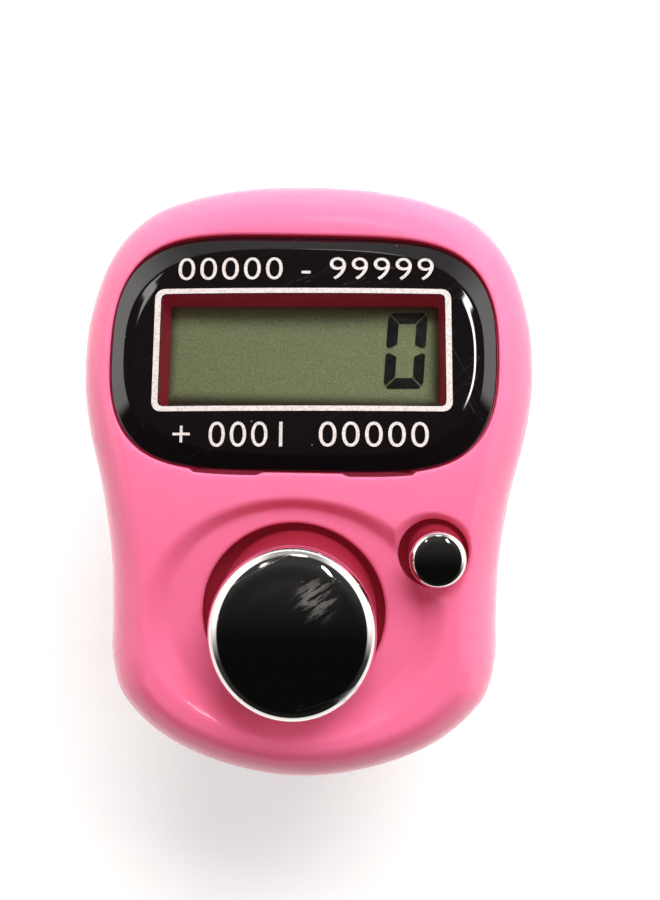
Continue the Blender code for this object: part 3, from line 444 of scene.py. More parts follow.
recess_rim, recess_roof = back.run(rim_rings(door_shape, door_gap, back_z, door_roof_z, 0.2))
(well_low, well_top), (door_hole_low, door_hole_top) = (
    back.run([circle(radius, steps, centre, z) for z in (door_roof_z, back_floor_z)])
    for radius, steps, centre in ((battery_hole, 72, (0, 0)), (screw_hole, 24, door_screw_place)))
back.fill([recess_roof, well_low, door_hole_low])
back_openings, floor_openings = [recess_rim], [well_top, door_hole_top]
well_end_z = back_floor_z + 1.2
for centre in case_screw_places:
    rings = rim_rings(lambda radius, level: circle(radius, 32, centre, level),
                      screw_bore, back_z, screw_seat_z, 0.1)
    rings += [circle(screw_hole, 32, centre, z) for z in (screw_seat_z, well_end_z)]
    rim, top = back.run(rings)
    back_openings.append(rim)
    back.tube(centre, screw_hole, 2.2, back_floor_z + 0.9, back_top_z)
    back.plug(top, well_end_z)
back.tube((0, 0), battery_hole, battery_hole + 1.0, back_floor_z - 0.05, 21.6, 72)
back.tube(door_screw_place, screw_hole, 1.6, back_floor_z - 0.05, 21.3, 24, blind=21.0)

strap_width, strap_thickness, strap_anchor_y = 8.8, 1.2, 10.8
slot_rim, slot_top = back.run(rim_rings(
    lambda growth, level: rounded_box(strap_width + 2 * growth, strap_thickness + 2 * growth,
                                      0.2 + growth, (0.0, strap_anchor_y), level),
    0.3, back_z, back_floor_z, 0.15))
back_openings.append(slot_rim)
floor_openings.append(slot_top)

buckle_y, buckle_bar_z = -14.2, 14.6
buckle_half, buckle_bend, buckle_flare = 5.4, 1.0, 1.35
buckle_section = rounded_box(2.4, 1.3, 0.45, steps=4)[:, :2]
buckle_leg = [(buckle_half, back_z, buckle_flare, 0.0), (buckle_half, back_z - 0.15, 1.0, 0.0),
              (buckle_half, buckle_bar_z + buckle_bend, 1.0, 0.0)]
for turn in np.linspace(0, math.pi / 2, 6)[1:]:
    buckle_leg.append((buckle_half - buckle_bend * (1 - math.cos(turn)),
                       buckle_bar_z + buckle_bend * (1 - math.sin(turn)), 1.0, turn))
left_rings, right_rings = (
    [[(side * (x + b * math.cos(turn)), buckle_y + a * flare, z - b * math.sin(turn))
      for a, b in buckle_section] for x, z, flare, turn in buckle_leg] for side in (-1, 1))
back_openings += back.run(left_rings + right_rings[::-1])
back.fill([back_face] + back_openings)
back.fill([back_inner_floor] + floor_openings)
back.make("back_shell", pink_plastic, "case", ["back_case"])


# Battery door: a flat pink cover flush with the back, moulded with a tongue at one end, three
# finger grooves and a plus sign for the pole of the cell, and held by one small screw.
door = Moulding()
door_top_z, door_edge, groove_pitch = 18.5, 0.12, 1.2
door_upper, door_face = door.run(
    [door_shape(0.0, door_top_z)]
    + [door_shape(-door_edge * down, back_z + door_edge * out) for out, down in rounding(5)])
bore_low, bore_end = door.run([
    circle(radius, 32, door_screw_place, level) for radius, level in (
        (screw_bore + 0.06, back_z), (screw_bore, back_z + 0.06), (screw_bore, back_z + 0.5),
        (screw_hole, back_z + 0.5), (screw_hole, door_top_z))])
door_openings = [bore_low]
for number in range(3):
    groove_x = door_centre[0] - door_width / 2 + door_radius + number * groove_pitch
    groove_rim, groove_floor = door.run([
        rounded_box(0.5 + 2 * growth, 5.0 + 2 * growth, 0.24 + growth, (groove_x, 0.0),
                    back_z + depth, steps=4)
        for growth, depth in ((0.10, 0.0), (0.03, 0.04), (0.0, 0.12), (-0.08, 0.27), (-0.17, 0.3))])
    door.faces.append(tuple(groove_floor))
    door_openings.append(groove_rim)


def cross(arm, half, corner):
    """Plan of a cross, from the reach and half width of its arms and its inner corners."""
    return np.array([(arm, half), (corner, corner), (half, arm), (-half, arm), (-corner, corner),
                     (-arm, half), (-arm, -half), (-corner, -corner), (-half, -arm), (half, -arm),
                     (corner, -corner), (arm, -half)])


plus_rim, plus_floor = door.run([lifted(cross(1.6, 0.3, 0.3) * size + (4.9, -4.3), back_z + depth)
                                 for size, depth in ((1.0, 0.0), (0.94, 0.12))])
door.fill([plus_floor])
door_openings.append(plus_rim)
door.fill([door_face] + door_openings)
door.fill([door_upper, bore_end])
tongue_reach, tongue_length, tongue_width = 0.7, 1.6, 6.0
tongue_x = door_centre[0] - door_width / 2 - tongue_reach + tongue_length / 2
door.solid([rounded_box(tongue_length, tongue_width, 0.15, (tongue_x, 0.0), level)
            for level in (door_top_z - 0.4, door_top_z - 0.01)])
door.make("door_cover", pink_plastic, "case", ["battery_door"])


# Screws: plated steel with a round head, a pressed cross recess and a cut thread. Four hold the
# two halves of the case, two hold the board and one holds the battery door.
steel = Surface("plated_steel", Metallic=1.0)
smears, scratches, _ = steel.marks(Scratch_Size=1500.0)
steel.set(Base_Color=steel.colour(smears, (0.56, 0.55, 0.52), (0.34, 0.33, 0.31)),
          Roughness=steel.scaled(scratches, 0.2, 0.30))


def make_screw(name, head_height):
    """Head down, thread up, inside the box of the model's own screw."""
    low, high = (np.array(corner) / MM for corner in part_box(name))
    centre = tuple((low[:2] + high[:2]) / 2)
    head, head_edge = (high[0] - low[0]) / 2, 0.32
    shank, thread, pitch, steps = 0.58, 0.17, 0.55, 48
    head_top = low[2] + head_height
    screw = Moulding()
    rings = [circle(head - head_edge * out, steps, centre,
                    low[2] + head_edge * down * head_height) for out, down in rounding(5)]
    rings += [circle(radius, steps, centre, head_top) for radius in (head, shank)]
    turn = np.linspace(0, 2 * math.pi, steps, endpoint=False)
    for level in np.arange(head_top + 0.15, high[2] - 0.5, pitch / 8):
        phase = (level / pitch - turn / (2 * math.pi)) % 1.0
        rings.append(circle(shank + thread * np.clip(1 - np.abs(phase - 0.5) * 4, 0, 1), steps,
                            centre, level))
    rings.append(circle(shank * 0.5, steps, centre, high[2] - 0.1))
    head_face, tip = screw.run(rings)
    screw.plug(tip, high[2])
    arm, half = head * 0.58, head * 0.13
    rim, floor = screw.run([
        lifted(cross(arm, half, half * 1.5) * size + centre, low[2] + depth)
        for size, depth in ((1.0, 0.0), (0.9, 0.05), (0.45, head_height * 0.6))])
    screw.plug(floor, low[2] + head_height * 0.7)
    screw.fill([head_face, rim])
    screw.make(name + "_threaded", steel.material, "case", [name])


for number in (1, 2, 3, 4):
    make_screw(f"case_screw_{number}", 0.8)
for number in (1, 2):
    make_screw(f"board_screw_{number}", 0.8)
make_screw("door_screw", 0.4)


# Strap: one band of soft satin plastic. A thick head sits behind the slot, the loop goes round
# the finger, and the ratchet teeth of its free end run through the buckle and out below it.
strap_plastic = moulded_plastic("soft_pink_plastic", (0.860, 0.150, 0.290), (0.820, 0.125, 0.250),
                                0.42, 0.25)
strap_corner, strap_bend = 6.4, 2.0
strap_leg_y = buckle_y + 1.2 + 0.3 + 1.5 * strap_bend
strap_tail_y, strap_tail_z = -18.6, back_z - 0.4 - strap_thickness / 2
strap_head_z = back_floor_z + 0.2 + 1.4
strap_mid = strap_thickness / 2
strap_corner_z = strap_mid + strap_corner
strap_bend_z = strap_tail_z - strap_bend
quarter = math.pi / 2


def straight(start, end, spacing=0.7):
    shares = np.linspace(0, 1, max(2, int(math.dist(start, end) / spacing) + 1))
    return [tuple(np.add(start, np.subtract(end, start) * share)) for share in shares[1:]]


strap_path = [(strap_anchor_y, strap_head_z)]
for end, (middle_y, middle_z), radius, start, turn, steps in (
        ((strap_anchor_y, strap_corner_z), (strap_anchor_y - strap_corner, strap_corner_z),
         strap_corner, 0, -quarter, 14),
        ((strap_leg_y + strap_corner, strap_mid), (strap_leg_y + strap_corner, strap_corner_z),
         strap_corner, -quarter, -quarter, 14),
        ((strap_leg_y, strap_bend_z), (strap_leg_y - strap_bend, strap_bend_z),
         strap_bend, 0, quarter, 9)):
    strap_path += straight(strap_path[-1], end)
    strap_path += [(middle_y + radius * math.cos(angle), middle_z + radius * math.sin(angle))
                   for angle in np.linspace(start, start + turn, steps)[1:]]
strap_path = np.array(strap_path + straight(strap_path[-1], (strap_tail_y, strap_tail_z)))
strap_marks = travelled(strap_path)
strap_length = strap_marks[-1]
tooth_pitch, tooth_height, tooth_start = 1.5, 0.4, strap_length - 20.0
tooth_count = int((strap_length - tooth_start - 1.6) / tooth_pitch)
tooth_rises = {}
for tooth in range(tooth_count):
    start = tooth_start + tooth * tooth_pitch
    for share, rise in ((0.0, 0.0), (0.30, 0.34), (0.60, 0.70), (0.82, 0.97), (0.88, 1.0),
                        (0.925, 0.92), (0.96, 0.12), (0.985, 0.0)):
        tooth_rises[start + share * tooth_pitch] = rise * tooth_height
strap_stops = np.unique(np.round([
    *strap_marks[strap_marks < tooth_start], *tooth_rises, 0.15, 0.4, 1.3, 1.4, 1.5, 1.6,
    *np.linspace(tooth_start + tooth_count * tooth_pitch, strap_length, 9)], 4))
strap_edge, strap_nick, strap_brow, strap_end = 0.34, 0.1, 0.9, 1.5


def strap_point(stop):
    return np.array([np.interp(stop, strap_marks, strap_path[:, k]) for k in (0, 1)])


strap_rings = []
for stop in strap_stops:
    point = strap_point(stop)
    heading = strap_point(min(stop + 0.2, strap_length)) - strap_point(max(stop - 0.2, 0))
    heading /= np.linalg.norm(heading)
    rise = next((height for mark, height in tooth_rises.items() if abs(mark - stop) < 1e-3), 0.0)
    half, left = strap_width / 2, strap_length - stop
    if left < strap_end:
        half -= strap_end - math.sqrt(max(0.0, strap_end ** 2 - (strap_end - left) ** 2)) * 0.999
    thick = strap_mid
    if stop < 1.45:
        thick = 1.5 - 0.25 * max(0.0, 1 - stop / 0.3) - max(0.0, stop - 1.35) * 6
    edge, nick, brow = strap_edge, strap_nick, strap_brow
    ring = []
    for x, reach in ((-half, thick - edge), (-half + nick, thick - nick), (-half + edge, thick),
                     (-half + brow, thick + rise), (0.0, thick + rise),
                     (half - brow, thick + rise), (half - edge, thick),
                     (half - nick, thick - nick), (half, thick - edge), (half, edge - thick),
                     (half - nick, nick - thick), (half - edge, -thick), (0.0, -thick),
                     (edge - half, -thick), (nick - half, nick - thick), (-half, edge - thick)):
        ring.append((x, point[0] + heading[1] * reach, point[1] - heading[0] * reach))
    strap_rings.append(ring)
strap = Moulding()
strap.solid(strap_rings)
strap.make("strap_band", strap_plastic, "case", ["strap"])


# Works on the board: laminate with its green mask, resin over the chip, a metal crystal can,
# two capacitors and a resistor, the nickelled cell and its two spring leaves, the grey domes
# under the buttons, and the amber ribbon to the display. They keep the shapes of the model.
def dress(material, *names):
    """Gives nodes of the model their material."""
    for name in names:
        mesh = nodes[name].data
        mesh.materials.clear()
        mesh.materials.append(material)


def grained(name, low, high, size, roughness, spread, bump, metallic=0.0, stretch=(1.0, 1.0, 1.0)):
    """A surface whose tone, gloss and height follow one grain."""
    surface = Surface(name, Metallic=metallic)
    grain = surface.noise(surface.lay(surface.place(), Scale=stretch), size, 5.0, 0.6)
    surface.set(Base_Color=surface.colour(grain, low, high),
                Roughness=surface.scaled(grain, spread, roughness),
                Normal=surface.bump(grain, bump, 0.00005))
    return surface.material


for names, *look in (
        (["circuit_board"], "green_mask", (0.015, 0.10, 0.035), (0.03, 0.17, 0.06),
         900.0, 0.25, 0.3, 0.3),
        (["chip_blob"], "black_resin", (0.006, 0.006, 0.006), (0.02, 0.02, 0.022),
         500.0, 0.12, 0.25, 0.2),
        (["crystal"], "drawn_can", (0.62, 0.62, 0.60), (0.80, 0.80, 0.78),
         900.0, 0.15, 0.25, 0.15, 1.0, (0.1, 1.0, 1.0)),
        (["battery"], "nickel_cell", (0.62, 0.61, 0.58), (0.80, 0.79, 0.76),
         1200.0, 0.14, 0.25, 0.15, 1.0, (1.0, 0.08, 1.0)),
        (["capacitor_1", "capacitor_2"], "fired_ceramic", (0.38, 0.26, 0.15), (0.52, 0.38, 0.24),
         1500.0, 0.4, 0.3, 0.4),
        (["resistor_1"], "black_chip", (0.015, 0.015, 0.015), (0.05, 0.05, 0.05),
         1500.0, 0.35, 0.3, 0.4),
        (["count_dome", "reset_dome"], "grey_rubber", (0.42, 0.42, 0.40), (0.55, 0.55, 0.53),
         1100.0, 0.55, 0.3, 0.5),
        (["contact_positive", "contact_negative"], "spring_leaf", (0.62, 0.55, 0.40),
         (0.78, 0.71, 0.56), 1500.0, 0.2, 0.25, 0.2, 1.0, (0.15, 1.0, 1.0)),
        (["lcd_ribbon"], "amber_ribbon", (0.36, 0.15, 0.03), (0.50, 0.25, 0.07),
         1400.0, 0.25, 0.2, 0.3, 0.0, (1.0, 0.05, 0.05)),
        (["lcd_frame"], "white_frame", (0.66, 0.66, 0.63), (0.78, 0.78, 0.75),
         900.0, 0.4, 0.2, 0.2)):
    dress(grained(*look), *names)


# Display cell: two panes of glass with films on both sides, seated under the window. Its face
# film is grey-green with a fine sparkle and painted shade darkening it towards the edges of the
# window, and its rear film is a matt reflector.
film = Surface("display_film", IOR=1.45)
film_place = film.place()
sparkle = film.noise(film_place, 8500.0, rough=0.7)
film_tone = film.colour(film.scaled(sparkle, 2.0, -0.5), (0.094, 0.128, 0.048),
                        (0.308, 0.362, 0.185))
film_cloud = film.colour(film.scaled(film.noise(film_place, 260.0), 0.35), film_tone,
                         (0.213, 0.244, 0.149))
# Painted shade: the film darkens within a band round the edges of the window, where its walls shade
# it.
film_centre, film_half, film_shade_width = (-0.25, 8.92), (9.45, 3.62), 1.0
film_sides = film.node("SeparateXYZ", {"Vector": film_place}).outputs
film_painted_shades = []
for axis in (0, 1):
    off = film.math("ABSOLUTE", film.math("SUBTRACT", film_sides[axis], film_centre[axis] * MM))
    film_painted_shades.append(film.ramp(off, (film_half[axis] - film_shade_width) * MM, film_half[axis] * MM))
film.set(Base_Color=film.colour(film.math("MAXIMUM", *film_painted_shades), film_cloud,
                                (0.030, 0.026, 0.014)),
         Roughness=film.scaled(sparkle, 0.2, 0.38))
dress(grained("reflector_film", (0.40, 0.41, 0.38), (0.52, 0.53, 0.49), 2200.0, 0.35, 0.2, 0.3),
      "lcd_reflector")
glass = Surface("cell_glass", Transmission_Weight=0.6, IOR=1.5)
glass_grain = glass.noise(glass.place(), 400.0)
glass.set(Base_Color=glass.colour(glass_grain, (0.42, 0.46, 0.34), (0.50, 0.54, 0.42)),
          Roughness=glass.scaled(glass_grain, 0.05, 0.03))
dress(glass.material, "lcd_cell")

crest_z, crest_blend, crown_radius = 29.6, 4.0, 150.588
display_tilt, button_tilt = math.radians(10.0), math.radians(6.0)


def face_height(x, y):
    """Height of the arched and slightly crowned face, without its rolled edge or hollows."""
    upper = (np.hypot(y, crest_blend) + y - crest_blend) / 2
    lower = (np.hypot(y, crest_blend) - y - crest_blend) / 2
    return (crest_z - math.tan(display_tilt) * upper - math.tan(button_tilt) * lower
            - np.square(x) / (2 * crown_radius))


def leaning(centre, tilt):
    """Turns points of a plane that leans about X, with its origin on the face, into the model's."""
    origin = np.array([centre[0], centre[1], face_height(*centre)])
    cosine, sine = math.cos(tilt), math.sin(tilt)

    def to_model(points):
        x, y, z = np.asarray(points, float).T
        return np.column_stack([x, y * cosine - z * sine, y * sine + z * cosine]) + origin

    return to_model


lens_y = 8.7
on_display = leaning((0.0, lens_y), -display_tilt)


def display_ring(plan, level):
    """Points of a plan at one level of the display, or at a level for each point."""
    return on_display(lifted(plan, level))


film_top, film_depth, film_edge = -2.25, 0.14, 0.02
film_size, film_middle = (20.6, 9.2), (0.0, 0.5)
film_low = film_top - film_depth
face_film = Moulding()
face_film.solid([
    display_ring(rounded_box(film_size[0] - 2 * inset, film_size[1] - 2 * inset, 0.15,
                             film_middle), level)
    for inset, level in ((1.5, film_low), (0.06, film_low), (film_edge, film_low),
                         (0.0, film_low + film_edge), (0.0, film_top - film_edge),
                         (film_edge, film_top), (0.06, film_top), (1.5, film_top))])
face_film.make("face_film", film.material, "case", ["lcd_polariser"])


# Figure on the display: a slanted seven-segment nought, dark and flat, with mitred gaps between
# its segments. The middle segment and the other figures are off.
display_turn = math.radians(1.0)
digit_corner, digit_size = (5.21, -1.87), (2.70, 5.30)
segment_width, digit_slant = 0.74, 0.074
segment_lift, segment_depth = 0.05, 0.03


def turned(plan):
    """The display, its window and the print sit a degree askew in the case."""
    x, y = np.asarray(plan, float).T[:2]
    cosine, sine = math.cos(display_turn), math.sin(display_turn)
    return np.column_stack([x * cosine - y * sine, x * sine + y * cosine])


def segment_shapes():
    """Plans of the six lit segments, upright, from the lower left corner of the figure."""
    (wide, tall), t, mid = digit_size, segment_width, digit_size[1] / 2
    across = [(0.30, 0), (wide - 0.30, 0), (wide - 0.18, 0.116), (wide - t - 0.064, t),
              (t + 0.064, t), (0.18, 0.116)]
    upright = [(0, 0.40), (0.13, 0.20), (t, t + 0.064), (t, mid - 0.43), (0.26 * t, mid - 0.16),
               (0, mid - 0.31)]
    shapes = [across, [(x, tall - y) for x, y in across]]
    for flip_x in (False, True):
        for flip_y in (False, True):
            shapes.append([(wide - x if flip_x else x, tall - y if flip_y else y)
                           for x, y in upright])
    return shapes


figure = Moulding()
for shape in segment_shapes():
    plan = turned([(digit_corner[0] + x + y * digit_slant, digit_corner[1] + y) for x, y in shape])
    figure.solid([display_ring(plan, film_top + lift)
                  for lift in (segment_lift, segment_lift + segment_depth)])
dark_crystal = grained("dark_crystal", (0.002, 0.003, 0.003), (0.005, 0.007, 0.006),
                       5000.0, 0.20, 0.2, 0.1)
figure.make("display_figure", dark_crystal, "case")


# Front case: the glossy pink face, moulded in one with the pocket of the lens, its window and
# tab slots, the thumb dish, the holes of the two buttons and the six screw posts behind.
parting_z, foot_z = 21.6, 22.2
edge_roll, roll_lift, case_wall = 4.2, 1.025, 1.3
count_place, reset_place = (-0.5, -8.7), (8.72, -4.38)
count_hole, reset_hole = 6.12, 2.34
dish_half, dish_floor, dish_depth = (10.7, 8.4), (8.5, 7.2), 1.15
reset_dish, reset_floor, reset_dish_depth = (3.1, 3.1), (2.5, 2.5), 0.5
lens_half, lens_powers, lens_middle = (12.93, 7.93), (4.77, 2.65), (-0.106, 0.253)
pocket_gap, pocket_z, ledge_z = 0.12, -1.45, -2.15
pane_half, pane_radius, pane_centre = (9.45, 3.76), 0.35, (-0.17, 0.345)
tab_centre, tab_half, tab_reach = 5.08, 2.4, 0.2
dense_edge = case_curve(1400)
on_count = leaning(count_place, button_tilt)
on_reset = leaning(reset_place, button_tilt)


def edge_distance(x, y):
    """Distance in plan from the outline of the case."""
    found = np.empty(len(x))
    for start in range(0, len(x), 2000):
        part = slice(start, start + 2000)
        found[part] = np.sqrt(((x[part, None] - dense_edge[None, :, 0]) ** 2
                               + (y[part, None] - dense_edge[None, :, 1]) ** 2).min(axis=1))
    return found


def blend_low(first, second, width):
    """The lower of two surfaces, with a small round where they meet."""
    near = np.maximum(width - np.abs(first - second), 0) / width
    return np.minimum(first, second) - near ** 2 * width / 4


def hollow(x, y, centre, rim, floor, depth):
    """Height of a hollow whose sloped wall meets its flat floor in a crisp corner."""
    base = face_height(*centre)
    cosine, sine = math.cos(button_tilt), math.sin(button_tilt)
    height = face_height(x, y)
    for _ in range(4):
        along = (y - centre[1]) * cosine + (height - base) * sine
        inner = np.hypot((x - centre[0]) / floor[0], along / floor[1])
        outer = np.hypot((x - centre[0]) / rim[0], along / rim[1])
        rise = np.clip((inner - 1) / np.maximum(inner - outer, 1e-3), -9, 3.5)
        rise = (rise + np.hypot(rise, 0.12)) / 2
        height = base + (depth * (rise - 1) + (y - centre[1]) * sine) / cosine
    return height


def case_height(x, y, inset=None):
    """Height of the outer surface of the front, with the rolled edge and both hollows."""
    away = edge_distance(x, y) if inset is None else np.full(len(x), inset)
    cosine = np.clip(1 - away / edge_roll, 0, 1)
    face = face_height(x, y)
    rolled = foot_z + (face - foot_z) * roll_lift * np.sqrt(1 - cosine ** 2)
    surface = blend_low(face, rolled, 0.06)
    dish = hollow(x, y, count_place, dish_half, dish_floor, dish_depth)
    surface = blend_low(surface, dish, 0.14)
    return blend_low(surface, hollow(x, y, reset_place, reset_dish, reset_floor, reset_dish_depth),
                     0.10)


def lens_plan(growth, count=264):
    """Plan of the lens, a squared oval, grown outwards by a distance."""
    turn = np.linspace(0, 2 * math.pi, 1200, endpoint=False)
    return even_loop(np.array(lens_middle) + np.column_stack([
        (lens_half[k] + growth) * np.sign(wave) * np.abs(wave) ** (2 / lens_powers[k])
        for k, wave in enumerate((np.cos(turn), np.sin(turn)))]), count)


def pocket_plan(growth):
    """Plan of the lens pocket, with the two notches of the lens tabs in its lower edge."""
    plan = lens_plan(pocket_gap + growth, 300)
    lower = plan[:, 1] < -3
    for side in (-1, 1):
        near = np.clip((tab_half + growth - np.abs(plan[:, 0] - side * tab_centre)) / 0.25, 0, 1)
        plan[:, 1] -= np.where(lower, tab_reach * near * near * (3 - 2 * near), 0)
    return plan


def down_to(to_model, plan, height_at):
    """Points of a plan carried along its own axis on to a surface, and their depths."""
    depth = np.zeros(len(plan))
    for _ in range(8):
        points = to_model(lifted(plan, depth))
        depth += height_at(points[:, 0], points[:, 1]) - points[:, 2]
    return points, depth


def inner_height(x, y):
    """Height of the inside of the front, level under the lens pocket."""
    surface = case_height(x, y) - case_wall
    along = (y - lens_y) / math.cos(display_tilt)
    share = (np.abs(x / (lens_half[0] + 0.9)) ** lens_powers[0]
             + np.abs(along / (lens_half[1] + 0.9)) ** lens_powers[1])
    under = on_display([(0.0, 0.0, ledge_z)])[0]
    floor = under[2] - (y - under[1]) * math.tan(display_tilt)
    return np.minimum(surface, floor + np.maximum(share - 1, 0) * 6)


front = Moulding()
front_rings = [case_ring(0.12, parting_z), case_ring(0.03, parting_z + 0.04),
               case_ring(0.0, parting_z + 0.13)]
for turn in np.radians(np.linspace(0, 50, 11)):
    inset = edge_roll * (1 - math.cos(turn))
    ring = case_ring(inset, 0.0)
    front_rings.append(lifted(ring, case_height(ring[:, 0], ring[:, 1], inset)))
front_foot, front_brim = front.run(front_rings)


def bored(to_model, plan_at, fillet, bottom=None):
    """An opening in the face: a rounded rim on the outer surface and a wall along its axis."""
    rings = []
    for out, down in rounding(5):
        plan = plan_at(fillet * out)
        _, depth = down_to(to_model, plan, case_height)
        rings.append(to_model(lifted(plan, depth - fillet * down)))
    plan = plan_at(0.0)
    rings.append(down_to(to_model, plan, inner_height)[0] if bottom is None
                 else to_model(lifted(plan, bottom)))
    loops = front.run(rings)
    # The wall of each opening takes the darker pink copy, painted shade.
    front.painted_shade_faces += range(len(front.faces) - len(plan), len(front.faces))
    return loops


count_rim, count_foot = bored(on_count, lambda growth: circle(count_hole + growth, 120), 0.30)
reset_rim, reset_foot = bored(on_reset, lambda growth: circle(reset_hole + growth, 64), 0.24)
pocket_rim, pocket_foot = bored(on_display, pocket_plan, 0.22, pocket_z)


def askew_box(half, radius, count):
    """A box of the display, with its points at even distances."""
    return turned(even_loop(rounded_box(2 * half[0], 2 * half[1], radius, pane_centre)[:, :2],
                            count))


def pane_plan(growth):
    """Plan of the clear window, which the opening below it follows."""
    return askew_box(np.add(pane_half, growth), pane_radius + growth, 160)


rim_z = -1.12
window_top, window_foot = front.run([display_ring(pane_plan(growth), level) for growth, level in (
    (0.42, pocket_z), (0.40, rim_z - 0.03), (0.36, rim_z), (0.04, rim_z), (0.0, rim_z - 0.03),
    (-0.24, ledge_z))])
# The window walls take the darker pink copy too, painted shade.
front.painted_shade_faces += range(len(front.faces) - 5 * 160, len(front.faces))
tab_y = 0.62 - lens_half[1]
slot_tops, slot_feet = zip(*(
    front.run([display_ring(rounded_box(4.3, 0.5, 0.1, (side * tab_centre, tab_y), steps=2), level)
               for level in (pocket_z, ledge_z)]) for side in (-1, 1)))
front.fill([pocket_foot, window_top, *slot_tops])


def spread(piece, loops, sources):
    """Free points for a fill, from several sources in turn, none too near to an earlier one."""
    rims = [np.array([piece.points[name] for name in loop]) for loop in loops]
    taken = [tuple(point[:2]) for rim in rims for point in rim]
    kept = []
    for plan, room in sources:
        plan = plan[inside(plan, rims[0])]
        for rim in rims[1:]:
            plan = plan[~inside(plan, rim)]
        tree = kdtree.KDTree(len(taken))
        for index, point in enumerate(taken):
            tree.insert((point[0], point[1], 0.0), index)
        tree.balance()
        clear = [tuple(point) for point in plan if tree.find((point[0], point[1], 0.0))[2] > room]
        taken += clear
        kept += clear
    return np.array(kept)


def hexagons(spacing):
    """A triangular lattice over the case, and the room that its points need."""
    rows = np.arange(-case_length / 2, case_length / 2, spacing * math.sqrt(3) / 2)
    cols = np.arange(-case_width / 2, case_width / 2, spacing)
    plan = [(x + (spacing / 2 if row % 2 else 0), y) for row, y in enumerate(rows) for x in cols]
    return np.array(plan), spacing / 2


sources = [(case_ring(inset, 0.0)[:, :2], 0.13) for inset in np.arange(1.68, 4.5, 0.17)]
for centre, half, spacing, room, shares in (
        (count_place, dish_half, 0.22, 0.085,
         (1.0, 1.012, 0.988, 1.03, 0.972, 1.055, 0.95, 0.92, 0.89)),
        (count_place, dish_floor, 0.20, 0.075,
         (1.0, 1.012, 0.988, 1.026, 0.974, 1.045, 0.955, 1.075, 0.92)),
        (reset_place, reset_dish, 0.16, 0.065, (1.0, 1.03, 0.97, 1.07, 0.93, 0.88)),
        (reset_place, reset_floor, 0.16, 0.065, (1.0,))):
    for share in shares:
        count = int(2 * math.pi * max(half) * share / spacing)
        sources.append((circle(1.0, count)[:, :2] * half * share + centre, room))
sources += [(display_ring(pocket_plan(growth), 0.0)[:, :2], 0.15) for growth in (0.35, 0.6, 0.9)]
sources.append((hexagons(0.42)[0], 0.27))
face_loops = [front_brim, count_rim, reset_rim, pocket_rim]
plan = spread(front, face_loops, sources)
front.fill(face_loops, lifted(plan, case_height(plan[:, 0], plan[:, 1])))

inner_rings = [case_ring(case_wall, parting_z)]
for turn in np.radians(np.linspace(0, 48, 6)):
    ring = case_ring(case_wall + (edge_roll - case_wall) * (1 - math.cos(turn)), 0.0)
    under = face_height(ring[:, 0], ring[:, 1]) - case_wall
    inner_rings.append(lifted(ring, foot_z + (under - foot_z) * math.sin(turn)))
inner_foot, inner_brim = front.run(inner_rings)
front.bridge(front_foot, inner_foot)
inner_loops = [inner_brim, count_foot, reset_foot, window_foot, *slot_feet]
plan = spread(front, inner_loops, [hexagons(1.0)])
front.fill(inner_loops, lifted(plan, inner_height(plan[:, 0], plan[:, 1])))
post_radius = 1.8
for places, foot in ((case_screw_places, lip_top_z + 0.2), (board_screw_places, 23.25)):
    for centre in places:
        around = circle(post_radius, 24, centre)
        top = inner_height(around[:, 0], around[:, 1]).min()
        front.tube(centre, screw_hole, post_radius, foot, top + 0.3, blind=top - 0.4)
front.make("front_shell", pink_plastic, "case", ["front_case"],
           painted_shade=painted_shade_plastic)


# Lens: a polished acrylic plate, painted black behind all but its window. Its top follows the
# crown of the face, its edge is bevelled, and two tabs below hook into the slots of the pocket.
# A frame of black tape sticks it down.
lens_black = Surface("black_lens", IOR=1.62)
smears, scratches, dust = lens_black.marks(Smear_Size=240.0, Scratch_Size=1300.0,
                                           Scratch_Width=0.006, Dust_Size=1500.0, Dust_Share=0.10)
lens_tone = lens_black.colour(lens_black.scaled(dust, 0.55), (0.0045, 0.0030, 0.0035),
                              (0.55, 0.50, 0.48))
lens_black.set(Base_Color=lens_black.colour(lens_black.scaled(scratches, 0.04), lens_tone,
                                            (0.75, 0.72, 0.70)),
               Roughness=lens_black.scaled(smears, 0.06, 0.035))
lens_proud, lens_low = 0.3, -1.1
lens_bevel, lens_slope = 0.95, 0.55
lens_brow, lens_brow_slope = 1.55, 0.13


def on_crown(plan, lift=0.0):
    """Points of a plan on the crown of the lens, or above it."""
    return display_ring(plan, lens_proud - np.square(plan[:, 0]) / (2 * crown_radius) + lift)


def lens_ring(inset):
    """A ring of the edge, which falls gently from its brow and steeply over its bevel. The bevel is
    wider round the corners."""
    outer, inner = lens_plan(-0.0), lens_plan(-2.0)
    corner = (np.clip(np.abs(outer[:, 0]) / 10, 0, 1) * np.clip(np.abs(outer[:, 1]) / 6, 0, 1)) ** 2
    plan = outer + (inner - outer) * (inset * (1 + 0.45 * corner) / 2)[:, None]
    brow = blend_low(np.array(0.0), np.array(inset - lens_brow) * lens_brow_slope, 0.028)
    bevel = (inset - lens_bevel) * lens_slope - (lens_brow - lens_bevel) * lens_brow_slope
    return on_crown(plan, blend_low(brow, bevel, 0.04))


def fill_crown(piece, loops, spacing):
    """Fills loops of the display with a surface that follows the crown of the lens."""
    plan = spread(piece, loops, [hexagons(spacing)])
    along = (plan[:, 1] - on_display([(0, 0, lens_proud)])[0][1]) / math.cos(display_tilt)
    piece.fill(loops, on_crown(np.column_stack([plan[:, 0], along])))


